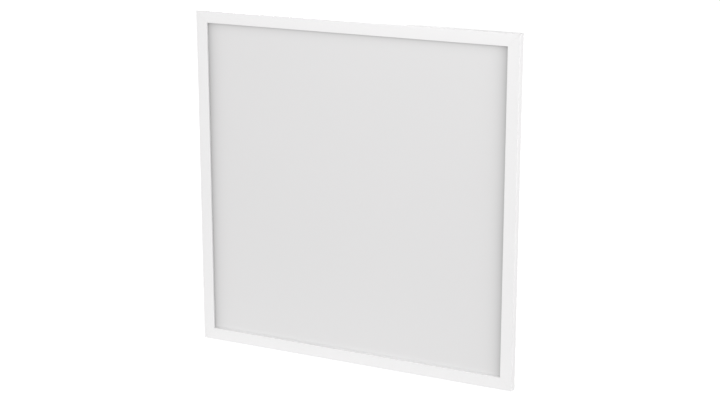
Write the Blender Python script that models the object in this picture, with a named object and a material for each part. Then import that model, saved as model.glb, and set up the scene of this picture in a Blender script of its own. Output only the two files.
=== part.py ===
"""Recessed LED panel light, 595 mm square, lit from behind, with its driver on its back.

The panel stands upright: its light leaves along -Y and its back faces +Y. The origin is the centre of
the plane of the frame's front face. Every length is in metres.
"""

import math

import bmesh
import bpy
from mathutils import Matrix, Vector

# Driving dimensions
PANEL_SIDE = 0.595  # outline, for a 600 mm ceiling grid
HALF = PANEL_SIDE / 2
GAP = 0.0003  # left between pieces that touch

# Frame: a mitred aluminium section. Distances inward are from the panel's outer edge.
FACE_WIDTH = 0.021
FRAME_WALL = 0.0012
RIM_DEPTH = 0.014
LIP_DEPTH = 0.0037  # how far the inner edge turns back
RIB_TOP = 0.0102
RIB_OUTER = 0.0046  # near side of the rib beside the corner keys' channel
RIB_INNER = 0.0088  # near side of the rib beside the diffuser
OUTER_ROUND = 0.0009
INNER_ROUND = 0.0007
MITRE_GAP = 0.00015
SCREW_LINE = (RIB_OUTER + FRAME_WALL + RIB_INNER) / 2
KEY_LEG = 0.040

# Diffuser
DIFFUSER_EDGE = RIB_INNER + FRAME_WALL + 2 * GAP
DIFFUSER_FRONT = LIP_DEPTH + GAP
DIFFUSER_THICK = 0.0015

# Back tray: pressed steel sheet. These depths are of the middle of the sheet.
SHEET = 0.0006
TRAY_DEPTH = 0.033
TRAY_EDGE = 0.002
FLANGE_INNER = 0.0116
FLANGE_MID = RIB_TOP + GAP + SHEET / 2
FLANGE_BACK = FLANGE_MID + SHEET / 2
LAND_MID = DIFFUSER_FRONT + DIFFUSER_THICK + GAP + SHEET / 2
FLOOR_MID = TRAY_DEPTH - SHEET / 2
WALL_FOOT = 0.019
WALL_HEAD = 0.046
BEADS = (0.070, 0.203)  # how far in each stiffening bead starts
BEAD_WIDTH = 0.010
BEAD_HEIGHT = 0.0012
BEAD_SLOPE = 0.003
PRESSED_CORNER = 0.014  # radius of the floor's and the beads' corners
FLANGE_HOLE = 0.0016
EAR_SCREW_HOLE = 0.0019

# Reflector film, which lines the tray
FILM = 0.0005
FILM_MID = 0.03055
FILM_RIM_MID = 0.0081
FILM_SHIFT = 0.002  # how much further in than the tray's wall

# LED strips
STRIP_PITCH = 0.090
STRIPS = 6
LEDS = 6
BOARD_SIZE = (0.014, 0.001, 0.480)
BOARD_BACK = FLOOR_MID - SHEET / 2 - GAP
BOARD_FRONT = BOARD_BACK - BOARD_SIZE[1]
CHIP = (0.0035, 0.0006, 0.0028)
CARRIER_WIDTH = 0.010
CARRIER_LENGTH = 0.470
CARRIER_BACK = BOARD_FRONT - GAP
CARRIER_FRONT = 0.0296
LENS_RADIUS = 0.0085
LENS_HEIGHT = 0.0064
LENS_BACK = 0.02995
POCKET_RADIUS = 0.0032
POCKET_DEPTH = 0.0030

# Wiring inside the tray
LOOM_FRONT = FILM_MID + FILM / 2 + 0.00035
LOOM_THICK = 0.0009
LOOM_WIDTH = 0.002
LOOM_HEIGHT = BOARD_SIZE[2] / 2 + 0.0035

# Fasteners
SCREW_HEAD_RADIUS = 0.0028
SCREW_HEAD_HEIGHT = 0.0018
SCREW_SHANK_RADIUS = 0.0012
SCREW_LENGTH = 0.009
SCREW_SPACING = 0.200
CROSS_WIDTH = 0.0006
CROSS_REACH = 0.0012

# Suspension brackets
BRACKET_SHEET = 0.0012
BRACKET_LENGTH = 0.024
BRACKET_HEIGHT = 0.0186
BRACKET_FOOT = (0.0026, 0.0118)  # its near and far sides, from the panel's edge
BRACKET_CORNER = 0.006
EYE_SIZE = (0.008, 0.0054)
EYE_HEIGHT = 0.0237
EYE_CORNER = 0.0012

# Driver: these positions are from the middle of its mounting face
DRIVER_AT = (0.0, TRAY_DEPTH + GAP, 0.150)
CASE_HALF_LENGTH = 0.088
CASE_HALF_WIDTH = 0.026
CASE_WALL = 0.002
CASE_TOP = 0.024
PARTITION = 0.050  # near face of each partition
PARTITION_TOP = 0.023
EAR_LENGTH = 0.011
EAR_HALF_WIDTH = 0.009
EAR_THICK = 0.003
EAR_HOLE = 0.0055  # from the case's end
EAR_HOLE_RADIUS = 0.002
LID_HALF_LENGTH = 0.049
LID_THICK = 0.002
HINGE_X = 0.0525
HINGE_Y = CASE_TOP + GAP + LID_THICK / 2
HINGE_BARREL = 0.0016
HINGE_PIN = 0.0010
HINGE_HOLE = 0.0013
KNUCKLE = 0.0022
FLAP_NECK = 0.0236
TAB_HALF_WIDTH = 0.008
TAB_LENGTH = 0.0025
MAINS_SLOT = 0.009
MAINS_SLOT_MIDDLE = 0.0095
LEAD_SLOT = 0.0054
LEAD_HEIGHT = 0.0092
BOARD_LEVEL = 0.005
BOARD_THICK = 0.0016
BOARD_HALF_LENGTH = 0.068
BOARD_HALF_WIDTH = 0.020
BOARD_REST = (0.060, 0.015)  # each rest's distances from the middle
BOARD_REST_HALF = 0.0025
PARTS_LEVEL = BOARD_LEVEL + BOARD_THICK + GAP
TERMINAL_X = (0.0535, 0.066)
TERMINAL_HALF_WIDTH = 0.010
TERMINAL_TOP = 0.019
POLE = 0.0045  # each pole's distance from the driver's centre line
WIRE_HOLE = 0.0018
WIRE_LEVEL = 0.0115
WIRE_DEPTH = 0.009
BUTTON_X = 0.0585
BUTTON = (0.0040, 0.0052, 0.0036)
BUTTON_FOOT = 0.0156
BUTTON_FIT = 0.0003
CLAMP_X = 0.076
CLAMP_POST = 0.010
CLAMP_POST_RADIUS = 0.0032
CLAMP_LEVEL = 0.0125
CLAMP_THICK = 0.003
CLAMP_GROOVE = 0.006
CLAMP_HOLE = 0.0016
TRANSFORMER_X = 0.012
CAN_RADIUS = 0.0065
CAN_AT = (-0.026, 0.006)

# Lead from the driver to the tray
LEAD_RADIUS = 0.0023
GROMMET_AT = (0.165, 0.162)
GROMMET_HOLE = 0.005
GROMMET_FLANGE = 0.007
LEAD_ROUTE = (
    (0.0665, LEAD_HEIGHT, 0.0),
    (0.0880, LEAD_HEIGHT, 0.0),
    (0.1030, LEAD_HEIGHT + 0.0006, 0.0004),
    (0.1240, 0.0132, 0.0022),
    (0.1420, 0.0166, 0.0064),
    (0.1560, 0.0175, 0.0100),
    (0.1624, 0.0149, 0.0117),
    (0.1650, 0.0085, 0.0120),
    (0.1650, 0.0060, 0.0120),
    (0.1650, 0.0000, 0.0120),
    (0.1650, -0.0020, 0.0120),
)
LEAD_STEPS = 3  # points on the curve between two of the route's own


def clear_scene():
    for obj in list(bpy.data.objects):
        bpy.data.objects.remove(obj)


def material(name, colour, roughness, metallic=0.0):
    """One Principled material, made once."""
    made = bpy.data.materials.get(name)
    if made is None:
        made = bpy.data.materials.new(name)
        made.use_nodes = True
        shader = made.node_tree.nodes["Principled BSDF"]
        shader.inputs["Base Color"].default_value = (*colour, 1.0)
        shader.inputs["Roughness"].default_value = roughness
        shader.inputs["Metallic"].default_value = metallic
    return made


def frame_paint():
    return material("frame_paint", (0.90, 0.90, 0.90), 0.35)


def tray_paint():
    return material("tray_paint", (0.84, 0.84, 0.83), 0.45)


def opal():
    return material("opal", (0.84, 0.84, 0.84), 0.5)


def white_film():
    return material("white_film", (0.95, 0.95, 0.95), 0.6)


def board_white():
    return material("board_white", (0.92, 0.92, 0.88), 0.5)


def clear_lens():
    return material("clear_lens", (0.88, 0.91, 0.93), 0.08)


def zinc():
    return material("zinc", (0.66, 0.67, 0.69), 0.32, 1.0)


def rubber():
    return material("rubber", (0.05, 0.05, 0.05), 0.7)


def lead_sheath():
    return material("lead_sheath", (0.86, 0.86, 0.85), 0.5)


def case_plastic():
    return material("case_plastic", (0.88, 0.88, 0.87), 0.4)


def terminal_plastic():
    return material("terminal_plastic", (0.42, 0.44, 0.46), 0.4)


def button_plastic():
    return material("button_plastic", (0.90, 0.42, 0.08), 0.4)


def board_green():
    return material("board_green", (0.04, 0.24, 0.11), 0.4)


def ferrite():
    return material("ferrite", (0.07, 0.07, 0.08), 0.5)


def can_sleeve():
    return material("can_sleeve", (0.06, 0.07, 0.10), 0.3)


def mesh_of(name, bm):
    """The bmesh as a mesh with its faces pointing out and its round sides smooth."""
    bmesh.ops.recalc_face_normals(bm, faces=bm.faces)
    mesh = bpy.data.meshes.new(name)
    bm.to_mesh(mesh)
    bm.free()
    mesh.shade_smooth()
    mesh.set_sharp_from_angle(angle=math.radians(35))
    return mesh


def place(name, mesh, finish, parent=None, location=(0, 0, 0), rotation=(0, 0, 0)):
    """An object for the mesh. Objects that share a mesh share its material."""
    obj = bpy.data.objects.new(name, mesh)
    bpy.context.scene.collection.objects.link(obj)
    if not mesh.materials:
        mesh.materials.append(finish)
    obj.parent = parent
    obj.location = location
    obj.rotation_euler = rotation
    return obj


def body(name, bm, finish, parent=None, location=(0, 0, 0)):
    """An object for a bmesh of its own."""
    return place(name, mesh_of(name, bm), finish, parent, location)


def helper(name, bm, parent=None, location=(0, 0, 0)):
    """A cutter or an addition that is only there for a Boolean."""
    obj = body(name, bm, frame_paint(), parent, location)
    obj.hide_render = True
    obj.display_type = "WIRE"
    return obj


def boolean(obj, operation, other):
    modifier = obj.modifiers.new(operation.lower(), "BOOLEAN")
    modifier.operation = operation
    modifier.object = other


def settled_mesh(obj):
    """The object's mesh with its modifiers in it, for the pieces that share it."""
    graph = bpy.context.evaluated_depsgraph_get()
    mesh = bpy.data.meshes.new_from_object(obj.evaluated_get(graph))
    for modifier in list(obj.modifiers):
        bpy.data.objects.remove(modifier.object)
    bpy.data.objects.remove(obj)
    return mesh


def add_prism(bm, outline, axis, low, high):
    """Extrudes a flat outline along X, Y or Z. It gives the two other coordinates, in X, Y, Z order."""

    def point(pair, along):
        coordinates = list(pair)
        coordinates.insert("XYZ".index(axis), along)
        return Vector(coordinates)

    face = bm.faces.new([bm.verts.new(point(pair, low)) for pair in outline])
    grown = bmesh.ops.extrude_face_region(bm, geom=[face])["geom"]
    moved = [part for part in grown if isinstance(part, bmesh.types.BMVert)]
    step = point((0, 0), high - low)
    bmesh.ops.translate(bm, verts=moved, vec=step)
    return bm


def add_box(bm, low, high):
    outline = [(low[0], low[1]), (high[0], low[1]), (high[0], high[1]), (low[0], high[1])]
    return add_prism(bm, outline, "Z", low[2], high[2])


def box(low, high):
    return add_box(bmesh.new(), low, high)


def add_turned(bm, profile, steps, centre=(0, 0, 0), axis="Y", closed=False):
    """Spins a profile of (radius, height) points about an axis through centre. Closed, it makes a ring."""
    turns = {
        "X": Matrix.Rotation(-math.pi / 2, 3, "Z"),
        "Y": Matrix.Identity(3),
        "Z": Matrix.Rotation(math.pi / 2, 3, "X"),
    }
    rotation = turns[axis]
    middle = Vector(centre)
    points = [bm.verts.new(middle + rotation @ Vector((r, h, 0))) for r, h in profile]
    edges = [bm.edges.new(pair) for pair in zip(points, points[1:])]
    if closed:
        edges.append(bm.edges.new((points[-1], points[0])))
    direction = rotation @ Vector((0, 1, 0))
    bmesh.ops.spin(bm, geom=points + edges, cent=middle, axis=direction, angle=2 * math.pi, steps=steps)
    bmesh.ops.remove_doubles(bm, verts=bm.verts, dist=1e-6)
    return bm


def add_cylinder(bm, radius, low, high, centre, axis="Y", steps=12):
    profile = [(0, low), (radius, low), (radius, high), (0, high)]
    return add_turned(bm, profile, steps, centre, axis)


def both_ways(near, far, side):
    """Two distances from the middle, as low and high coordinates on one side of it."""
    return sorted((side * near, side * far))


def arc(centre, radius, start, end, steps):
    """Points on an arc in a plane, with its angles in degrees."""
    angles = [math.radians(start + (end - start) * i / steps) for i in range(steps + 1)]
    return [(centre[0] + radius * math.cos(a), centre[1] + radius * math.sin(a)) for a in angles]


def rounded_square(inset, depth, radius, steps=4):
    """A loop in the panel's plane, that far in from the panel's edge, with round corners."""
    half = HALF - inset
    loop = []
    for quarter in range(4):
        turn = Matrix.Rotation(quarter * math.pi / 2, 2)
        for x, z in arc((half - radius, half - radius), radius, 0, 90, steps):
            corner = turn @ Vector((x, z))
            loop.append((corner[0], depth, corner[1]))
    return loop


def pressed_sheet(name, loops, thickness, finish):
    """A sheet formed from nested loops, closed by a flat middle."""
    bm = bmesh.new()
    rings = [[bm.verts.new(point) for point in loop] for loop in loops]
    for outer, inner in zip(rings, rings[1:]):
        for i in range(len(outer)):
            bm.faces.new((outer[i - 1], outer[i], inner[i], inner[i - 1]))
    bm.faces.new(rings[-1])
    obj = body(name, bm, finish)
    solidify = obj.modifiers.new("thickness", "SOLIDIFY")
    solidify.thickness = thickness
    solidify.offset = 0
    solidify.use_even_offset = True
    return obj


def frame_profile():
    """The extrusion's section as (inward, depth) points, from its outer front corner."""
    outer_front = arc((OUTER_ROUND, OUTER_ROUND), OUTER_ROUND, 180, 270, 3)
    inner_front = arc((FACE_WIDTH - INNER_ROUND, INNER_ROUND), INNER_ROUND, 270, 360, 3)
    inside = FACE_WIDTH - FRAME_WALL
    lip = [(FACE_WIDTH, LIP_DEPTH), (inside, LIP_DEPTH), (inside, FRAME_WALL)]
    ribs = []
    for near in (RIB_INNER, RIB_OUTER):
        far = near + FRAME_WALL
        ribs += [(far, FRAME_WALL), (far, RIB_TOP), (near, RIB_TOP), (near, FRAME_WALL)]
    rim = [(FRAME_WALL, FRAME_WALL), (FRAME_WALL, RIM_DEPTH), (0, RIM_DEPTH)]
    return outer_front + inner_front + lip + ribs + rim


def build_frame():
    """Four mitred members, each the lower one turned about the panel's centre."""
    outline = [(depth, inward - HALF) for inward, depth in frame_profile()]
    bm = add_prism(bmesh.new(), outline, "X", -HALF, HALF)
    for vert in bm.verts:
        inward = vert.co.z + HALF
        vert.co.x = math.copysign(HALF - inward - MITRE_GAP, vert.co.x)
    mesh = mesh_of("frame_member", bm)
    for turn, side in enumerate(("bottom", "left", "top", "right")):
        place("frame_" + side, mesh, frame_paint(), rotation=(0, turn * math.pi / 2, 0))


def build_corner_keys():
    """L-shaped keys in the channel between the frame's outer wall and its first rib."""
    near = FRAME_WALL + GAP - HALF
    far = RIB_OUTER - GAP - HALF
    end = near + KEY_LEG
    outline = [(near, near), (end, near), (end, far), (far, far), (far, end), (near, end)]
    bm = add_prism(bmesh.new(), outline, "Y", FRAME_WALL + GAP, RIB_TOP - 2 * GAP)
    mesh = mesh_of("corner_key", bm)
    for turn, corner in enumerate(("bottom_left", "top_left", "top_right", "bottom_right")):
        place("corner_key_" + corner, mesh, zinc(), rotation=(0, turn * math.pi / 2, 0))


def build_diffuser():
    side = HALF - DIFFUSER_EDGE
    back = DIFFUSER_FRONT + DIFFUSER_THICK
    body("diffuser_sheet", box((-side, DIFFUSER_FRONT, -side), (side, back, side)), opal())


def screw_places():
    """Each tray screw's (x, z), three to a side."""
    line = HALF - SCREW_LINE
    found = []
    for turn in range(4):
        rotation = Matrix.Rotation(turn * math.pi / 2, 2)
        found += [tuple(rotation @ Vector((step * SCREW_SPACING, line))) for step in (-1, 0, 1)]
    return found


def under_bracket(x, z):
    """True where a screw also holds a suspension bracket: the outer ones at the top and the bottom."""
    return abs(z) > abs(x) and abs(x) > SCREW_SPACING / 2


def bead(start):
    """The loops of a stiffening bead pressed outwards, from its outer foot to its inner foot."""
    crest = FLOOR_MID + BEAD_HEIGHT
    steps = ((0, FLOOR_MID), (BEAD_SLOPE, crest), (BEAD_WIDTH - BEAD_SLOPE, crest), (BEAD_WIDTH, FLOOR_MID))
    return [rounded_square(start + inward, depth, PRESSED_CORNER) for inward, depth in steps]


def build_tray():
    loops = [
        rounded_square(TRAY_EDGE, FLANGE_MID, 0.003),
        rounded_square(FLANGE_INNER, FLANGE_MID, 0.004),
        rounded_square(FLANGE_INNER + 0.001, LAND_MID, 0.004),
        rounded_square(WALL_FOOT, LAND_MID, 0.006),
        rounded_square(WALL_HEAD, FLOOR_MID, PRESSED_CORNER),
    ]
    for start in BEADS:
        loops += bead(start)
    tray = pressed_sheet("back_tray", loops, SHEET, tray_paint())
    cut = bmesh.new()
    for x, z in screw_places():
        add_cylinder(cut, FLANGE_HOLE, FLANGE_MID - 0.002, FLANGE_MID + 0.002, (x, 0, z))
    through_floor = (FLOOR_MID - 0.002, FLOOR_MID + 0.002)
    for side in (-1, 1):
        at = (side * (CASE_HALF_LENGTH + EAR_HOLE), 0, DRIVER_AT[2])
        add_cylinder(cut, EAR_SCREW_HOLE, *through_floor, at)
    add_cylinder(cut, GROMMET_HOLE, *through_floor, (GROMMET_AT[0], 0, GROMMET_AT[1]), steps=20)
    boolean(tray, "DIFFERENCE", helper("tray_cuts", cut))


def strip_lines():
    return [(i - (STRIPS - 1) / 2) * STRIP_PITCH for i in range(STRIPS)]


def led_heights():
    return [(i - (LEDS - 1) / 2) * STRIP_PITCH for i in range(LEDS)]


def build_reflector():
    loops = [
        rounded_square(WALL_FOOT + FILM_SHIFT * 2, FILM_RIM_MID, 0.008),
        rounded_square(WALL_HEAD - GAP, FILM_MID, PRESSED_CORNER),
    ]
    film = pressed_sheet("reflector_film", loops, FILM, white_film())
    cut = bmesh.new()
    half_width = CARRIER_WIDTH / 2 + 0.0005
    half_length = CARRIER_LENGTH / 2 + 0.001
    for x in strip_lines():
        low = (x - half_width, FILM_MID - 0.002, -half_length)
        high = (x + half_width, FILM_MID + 0.002, half_length)
        add_box(cut, low, high)
    boolean(film, "DIFFERENCE", helper("film_slots", cut))


def led_board_mesh():
    """A strip's board with its LED packages soldered on."""
    half_width, half_length = BOARD_SIZE[0] / 2, BOARD_SIZE[2] / 2
    blank = box((-half_width, BOARD_FRONT, -half_length), (half_width, BOARD_BACK, half_length))
    board = body("board_blank", blank, board_white())
    chips = bmesh.new()
    for z in led_heights():
        low = (-CHIP[0] / 2, BOARD_FRONT - CHIP[1], z - CHIP[2] / 2)
        high = (CHIP[0] / 2, BOARD_FRONT + GAP, z + CHIP[2] / 2)
        add_box(chips, low, high)
    boolean(board, "UNION", helper("chips", chips))
    return settled_mesh(board)


def lens_profile():
    """Half of a dome with a dimple over the LED, as (radius, depth) points."""
    front = LENS_BACK - LENS_HEIGHT
    rim = LENS_BACK - 0.0016
    dome = [(LENS_RADIUS * math.cos(a), rim - (rim - front) * math.sin(a)) for a in (0.0, 0.55, 1.1)]
    return [(0, LENS_BACK), (LENS_RADIUS, LENS_BACK), *dome, (0, front + 0.0007)]


def lens_strip_mesh():
    """Six lenses on one carrier, with a pocket behind each for its LED."""
    low = (-CARRIER_WIDTH / 2, CARRIER_FRONT, -CARRIER_LENGTH / 2)
    high = (CARRIER_WIDTH / 2, CARRIER_BACK, CARRIER_LENGTH / 2)
    strip = body("carrier_blank", box(low, high), clear_lens())
    domes, pockets = bmesh.new(), bmesh.new()
    mouth = CARRIER_BACK + 0.001
    tip = CARRIER_BACK - POCKET_DEPTH
    pocket = [(0, mouth), (POCKET_RADIUS, mouth), (POCKET_RADIUS, tip + 0.001), (0, tip)]
    for z in led_heights():
        add_turned(domes, lens_profile(), 12, (0, 0, z))
        add_turned(pockets, pocket, 6, (0, 0, z))
    boolean(strip, "UNION", helper("domes", domes))
    boolean(strip, "DIFFERENCE", helper("pockets", pockets))
    return settled_mesh(strip)


def build_strips():
    board, lenses = led_board_mesh(), lens_strip_mesh()
    for number, x in enumerate(strip_lines(), 1):
        place(f"led_board_{number}", board, board_white(), location=(x, 0, 0))
        place(f"lens_strip_{number}", lenses, clear_lens(), location=(x, 0, 0))


def build_loom():
    """Flat wiring above the boards, with a tail to each board and one to the grommet."""
    half = LOOM_WIDTH / 2
    reach = strip_lines()[-1] + half
    tails = [(x, BOARD_SIZE[2] / 2 + GAP) for x in strip_lines()]
    tails.append((GROMMET_AT[0], GROMMET_AT[1] + GROMMET_HOLE + 0.0025))
    lower_side = []
    for x, end in sorted(tails):
        lower_side += [(x - half, LOOM_HEIGHT), (x - half, end), (x + half, end), (x + half, LOOM_HEIGHT)]
    upper_side = [(reach, LOOM_HEIGHT + LOOM_WIDTH), (-reach, LOOM_HEIGHT + LOOM_WIDTH)]
    outline = lower_side[1:-1] + upper_side  # its outermost tails run straight into its ends
    bm = add_prism(bmesh.new(), outline, "Y", LOOM_FRONT, LOOM_FRONT + LOOM_THICK)
    body("strip_loom", bm, lead_sheath())


def screw_mesh(length, shank_radius):
    """A pan-head screw with a cross recess. The origin is under its head, and its shank points to -Y."""
    tip = [(0, -length), (shank_radius * 0.5, -length), (shank_radius, -length + 0.001)]
    rim = [(shank_radius, 0), (SCREW_HEAD_RADIUS, 0), (SCREW_HEAD_RADIUS, 0.0008)]
    crown = [(SCREW_HEAD_RADIUS * 0.62, SCREW_HEAD_HEIGHT), (0, SCREW_HEAD_HEIGHT)]
    screw = body("screw_blank", add_turned(bmesh.new(), tip + rim + crown, 10), zinc())
    slot = CROSS_WIDTH / 2
    cross = [(CROSS_REACH, slot), (slot, slot), (slot, CROSS_REACH)]
    outline = []
    for quarter in range(4):
        turn = Matrix.Rotation(quarter * math.pi / 2, 2)
        outline += [tuple(turn @ Vector(point)) for point in cross]
    recess = add_prism(bmesh.new(), outline, "Y", 0.0006, SCREW_HEAD_HEIGHT + 0.001)
    boolean(screw, "DIFFERENCE", helper("cross", recess))
    return settled_mesh(screw)


def build_tray_screws():
    mesh = screw_mesh(SCREW_LENGTH, SCREW_SHANK_RADIUS)
    for number, (x, z) in enumerate(screw_places(), 1):
        seat = FLANGE_BACK + GAP
        if under_bracket(x, z):
            seat += BRACKET_SHEET + GAP
        place(f"tray_screw_{number:02d}", mesh, zinc(), location=(x, seat, z))


def build_brackets():
    """An angle at each outer screw of the top and bottom, with an eye in its leg for a hanging wire."""
    half = BRACKET_LENGTH / 2
    foot_front = FLANGE_BACK + GAP
    foot_back = foot_front + BRACKET_SHEET
    near, far = (inward - HALF for inward in BRACKET_FOOT)
    top = foot_front + BRACKET_HEIGHT
    shoulder = top - BRACKET_CORNER
    crown = half - BRACKET_CORNER
    right_side = [(half, foot_front), (half, shoulder), (crown, top)]
    leg = right_side + [(-x, y) for x, y in reversed(right_side)]
    blank = body("bracket_blank", add_prism(bmesh.new(), leg, "Z", far - BRACKET_SHEET, far), zinc())
    foot = box((-half, foot_front, near), (half, foot_back, far - BRACKET_SHEET / 2))
    boolean(blank, "UNION", helper("foot", foot))
    screw_line = (0, 0, SCREW_LINE - HALF)
    cut = add_cylinder(bmesh.new(), FLANGE_HOLE, foot_front - 0.001, foot_back + 0.001, screw_line)
    reach_x = EYE_SIZE[0] / 2 - EYE_CORNER
    reach_y = EYE_SIZE[1] / 2 - EYE_CORNER
    eye = []
    for sign_x, sign_y, start in ((1, 1, 0), (-1, 1, 90), (-1, -1, 180), (1, -1, 270)):
        middle = (sign_x * reach_x, EYE_HEIGHT + sign_y * reach_y)
        eye += arc(middle, EYE_CORNER, start, start + 90, 2)
    add_prism(cut, eye, "Z", far - 0.004, far + 0.002)
    boolean(blank, "DIFFERENCE", helper("eye_cut", cut))
    mesh = settled_mesh(blank)
    for turn, edge in ((0, "bottom"), (math.pi, "top")):
        for x, side in ((-SCREW_SPACING, "left"), (SCREW_SPACING, "right")):
            name = f"suspension_bracket_{edge}_{side}"
            place(name, mesh, zinc(), location=(x, 0, 0), rotation=(0, turn, 0))


def driver_mount():
    """The empty that the driver's pieces hang on, at the middle of its mounting face."""
    empty = bpy.data.objects.new("driver", None)
    bpy.context.scene.collection.objects.link(empty)
    empty.location = DRIVER_AT
    return empty


def add_slot(bm, width, middle, x_low, x_high):
    """A cutter for a cable slot in an end wall: round at the bottom and open at the top."""
    bottom = arc((middle, 0), width / 2, 90, 270, 8)
    outline = bottom + [(CASE_TOP + 0.002, -width / 2), (CASE_TOP + 0.002, width / 2)]
    return add_prism(bm, outline, "X", x_low, x_high)


def case_hollow():
    """The three spaces in the case, which its two partitions divide."""
    inner = CASE_HALF_WIDTH - CASE_WALL
    top = CASE_TOP + 0.002
    hollow = box((-PARTITION, CASE_WALL, -inner), (PARTITION, top, inner))
    for side in (-1, 1):
        low, high = both_ways(PARTITION + CASE_WALL, CASE_HALF_LENGTH - CASE_WALL, side)
        add_box(hollow, (low, CASE_WALL, -inner), (high, top, inner))
    return hollow


def case_additions():
    """The mounting ears, hinge knuckles, board rests and clamp posts."""
    added = bmesh.new()
    root = CASE_TOP - 0.001
    knuckle = arc((0, HINGE_Y), KNUCKLE, 0, 180, 6) + [(-KNUCKLE, root), (KNUCKLE, root)]
    for side in (-1, 1):
        low, high = both_ways(CASE_HALF_LENGTH - 0.001, CASE_HALF_LENGTH + EAR_LENGTH, side)
        add_box(added, (low, 0, -EAR_HALF_WIDTH), (high, EAR_THICK, EAR_HALF_WIDTH))
        for across in (-1, 1):
            outline = [(side * HINGE_X + x, y) for x, y in knuckle]
            add_prism(added, outline, "Z", *both_ways(CASE_HALF_WIDTH - CASE_WALL, CASE_HALF_WIDTH, across))
            x, z = side * BOARD_REST[0], across * BOARD_REST[1]
            half = BOARD_REST_HALF
            add_box(added, (x - half, CASE_WALL - 0.001, z - half), (x + half, BOARD_LEVEL - GAP, z + half))
        post = (-CLAMP_X, 0, side * CLAMP_POST)
        add_cylinder(added, CLAMP_POST_RADIUS, CASE_WALL - 0.001, CLAMP_LEVEL, post)
    return added


def case_cuts():
    """The cable slots, the board's and the lid's ways through the partitions, and the screw holes."""
    cut = bmesh.new()
    end = CASE_HALF_LENGTH
    add_slot(cut, MAINS_SLOT, MAINS_SLOT_MIDDLE, -end - 0.001, -end + CASE_WALL + 0.001)
    add_slot(cut, LEAD_SLOT, LEAD_HEIGHT, end - CASE_WALL - 0.001, end + 0.001)
    inner = CASE_HALF_WIDTH - CASE_WALL
    board_way = BOARD_HALF_WIDTH + 0.001
    for side in (-1, 1):
        low, high = both_ways(PARTITION - 0.001, PARTITION + CASE_WALL + 0.001, side)
        add_box(cut, (low, BOARD_LEVEL - 0.0005, -board_way), (high, PARTS_LEVEL + 0.0002, board_way))
        add_box(cut, (low, PARTITION_TOP, -inner), (high, CASE_TOP + 0.002, inner))
        add_cylinder(cut, EAR_HOLE_RADIUS, -0.001, EAR_THICK + 0.001, (side * (end + EAR_HOLE), 0, 0))
        post = (-CLAMP_X, 0, side * CLAMP_POST)
        add_cylinder(cut, CLAMP_HOLE, CLAMP_LEVEL - 0.008, CLAMP_LEVEL + 0.001, post, steps=10)
    return cut


def hinge_holes():
    holes = bmesh.new()
    reach = CASE_HALF_WIDTH + 0.001
    for side in (-1, 1):
        add_cylinder(holes, HINGE_HOLE, -reach, reach, (side * HINGE_X, HINGE_Y, 0), "Z")
    return holes


def build_case(mount):
    """The driver's moulded base: an open box with two partitions."""
    length, width = CASE_HALF_LENGTH, CASE_HALF_WIDTH
    blank = box((-length, 0, -width), (length, CASE_TOP, width))
    case = body("driver_base", blank, case_plastic(), mount)
    boolean(case, "DIFFERENCE", helper("case_hollow", case_hollow(), mount))
    boolean(case, "UNION", helper("case_additions", case_additions(), mount))
    boolean(case, "DIFFERENCE", helper("case_cuts", case_cuts(), mount))
    boolean(case, "DIFFERENCE", helper("hinge_holes", hinge_holes(), mount))


def build_lid(mount):
    """The fixed cover over the electronics, with a rim that drops inside the case."""
    width = CASE_HALF_WIDTH
    level = CASE_TOP + GAP
    lid = box((-LID_HALF_LENGTH, level, -width), (LID_HALF_LENGTH, level + LID_THICK, width))
    obj = body("driver_lid", lid, case_plastic(), mount)
    reach, across = PARTITION - 0.001, width - CASE_WALL - GAP
    rim = box((-reach, level - 0.003, -across), (reach, level + 0.001, across))
    boolean(obj, "UNION", helper("lid_rim", rim, mount))
    inside = 0.0015
    hollow = box((inside - reach, level - 0.004, inside - across), (reach - inside, level, across - inside))
    boolean(obj, "DIFFERENCE", helper("lid_hollow", hollow, mount))


def build_flap(mount, name, side, slot_width, tongue_end):
    """A hinged cover over one terminal space. Its empty is on the hinge's axis; side is -1 or 1 along X."""
    pivot = bpy.data.objects.new(name + "_hinge", None)
    bpy.context.scene.collection.objects.link(pivot)
    pivot.parent = mount
    pivot.location = (side * HINGE_X, HINGE_Y, 0)

    def outward(distance):
        return side * (distance - HINGE_X)

    thick = LID_THICK / 2
    shoulder = outward(HINGE_X + 0.0038)
    end = outward(CASE_HALF_LENGTH)
    tab = outward(CASE_HALF_LENGTH + TAB_LENGTH)
    width = CASE_HALF_WIDTH
    edge = [(0, FLAP_NECK), (shoulder, FLAP_NECK), (shoulder, width)]
    edge += [(end, width), (end, TAB_HALF_WIDTH), (tab, TAB_HALF_WIDTH)]
    outline = edge + [(x, -z) for x, z in reversed(edge)]
    plate = body(name, add_prism(bmesh.new(), outline, "Y", -thick, thick), case_plastic(), pivot)
    added = add_cylinder(bmesh.new(), HINGE_BARREL, -FLAP_NECK, FLAP_NECK, (0, 0, 0), "Z")
    boolean(plate, "UNION", helper(name + "_barrel", added, pivot))
    pins = add_cylinder(bmesh.new(), HINGE_PIN, GAP - width, width - GAP, (0, 0, 0), "Z", 10)
    wall = sorted((outward(CASE_HALF_LENGTH - CASE_WALL), end))
    half = slot_width / 2 - 0.0004
    add_box(pins, (wall[0], tongue_end - HINGE_Y, -half), (wall[1], 0, half))
    boolean(plate, "UNION", helper(name + "_pins", pins, pivot))


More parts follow.
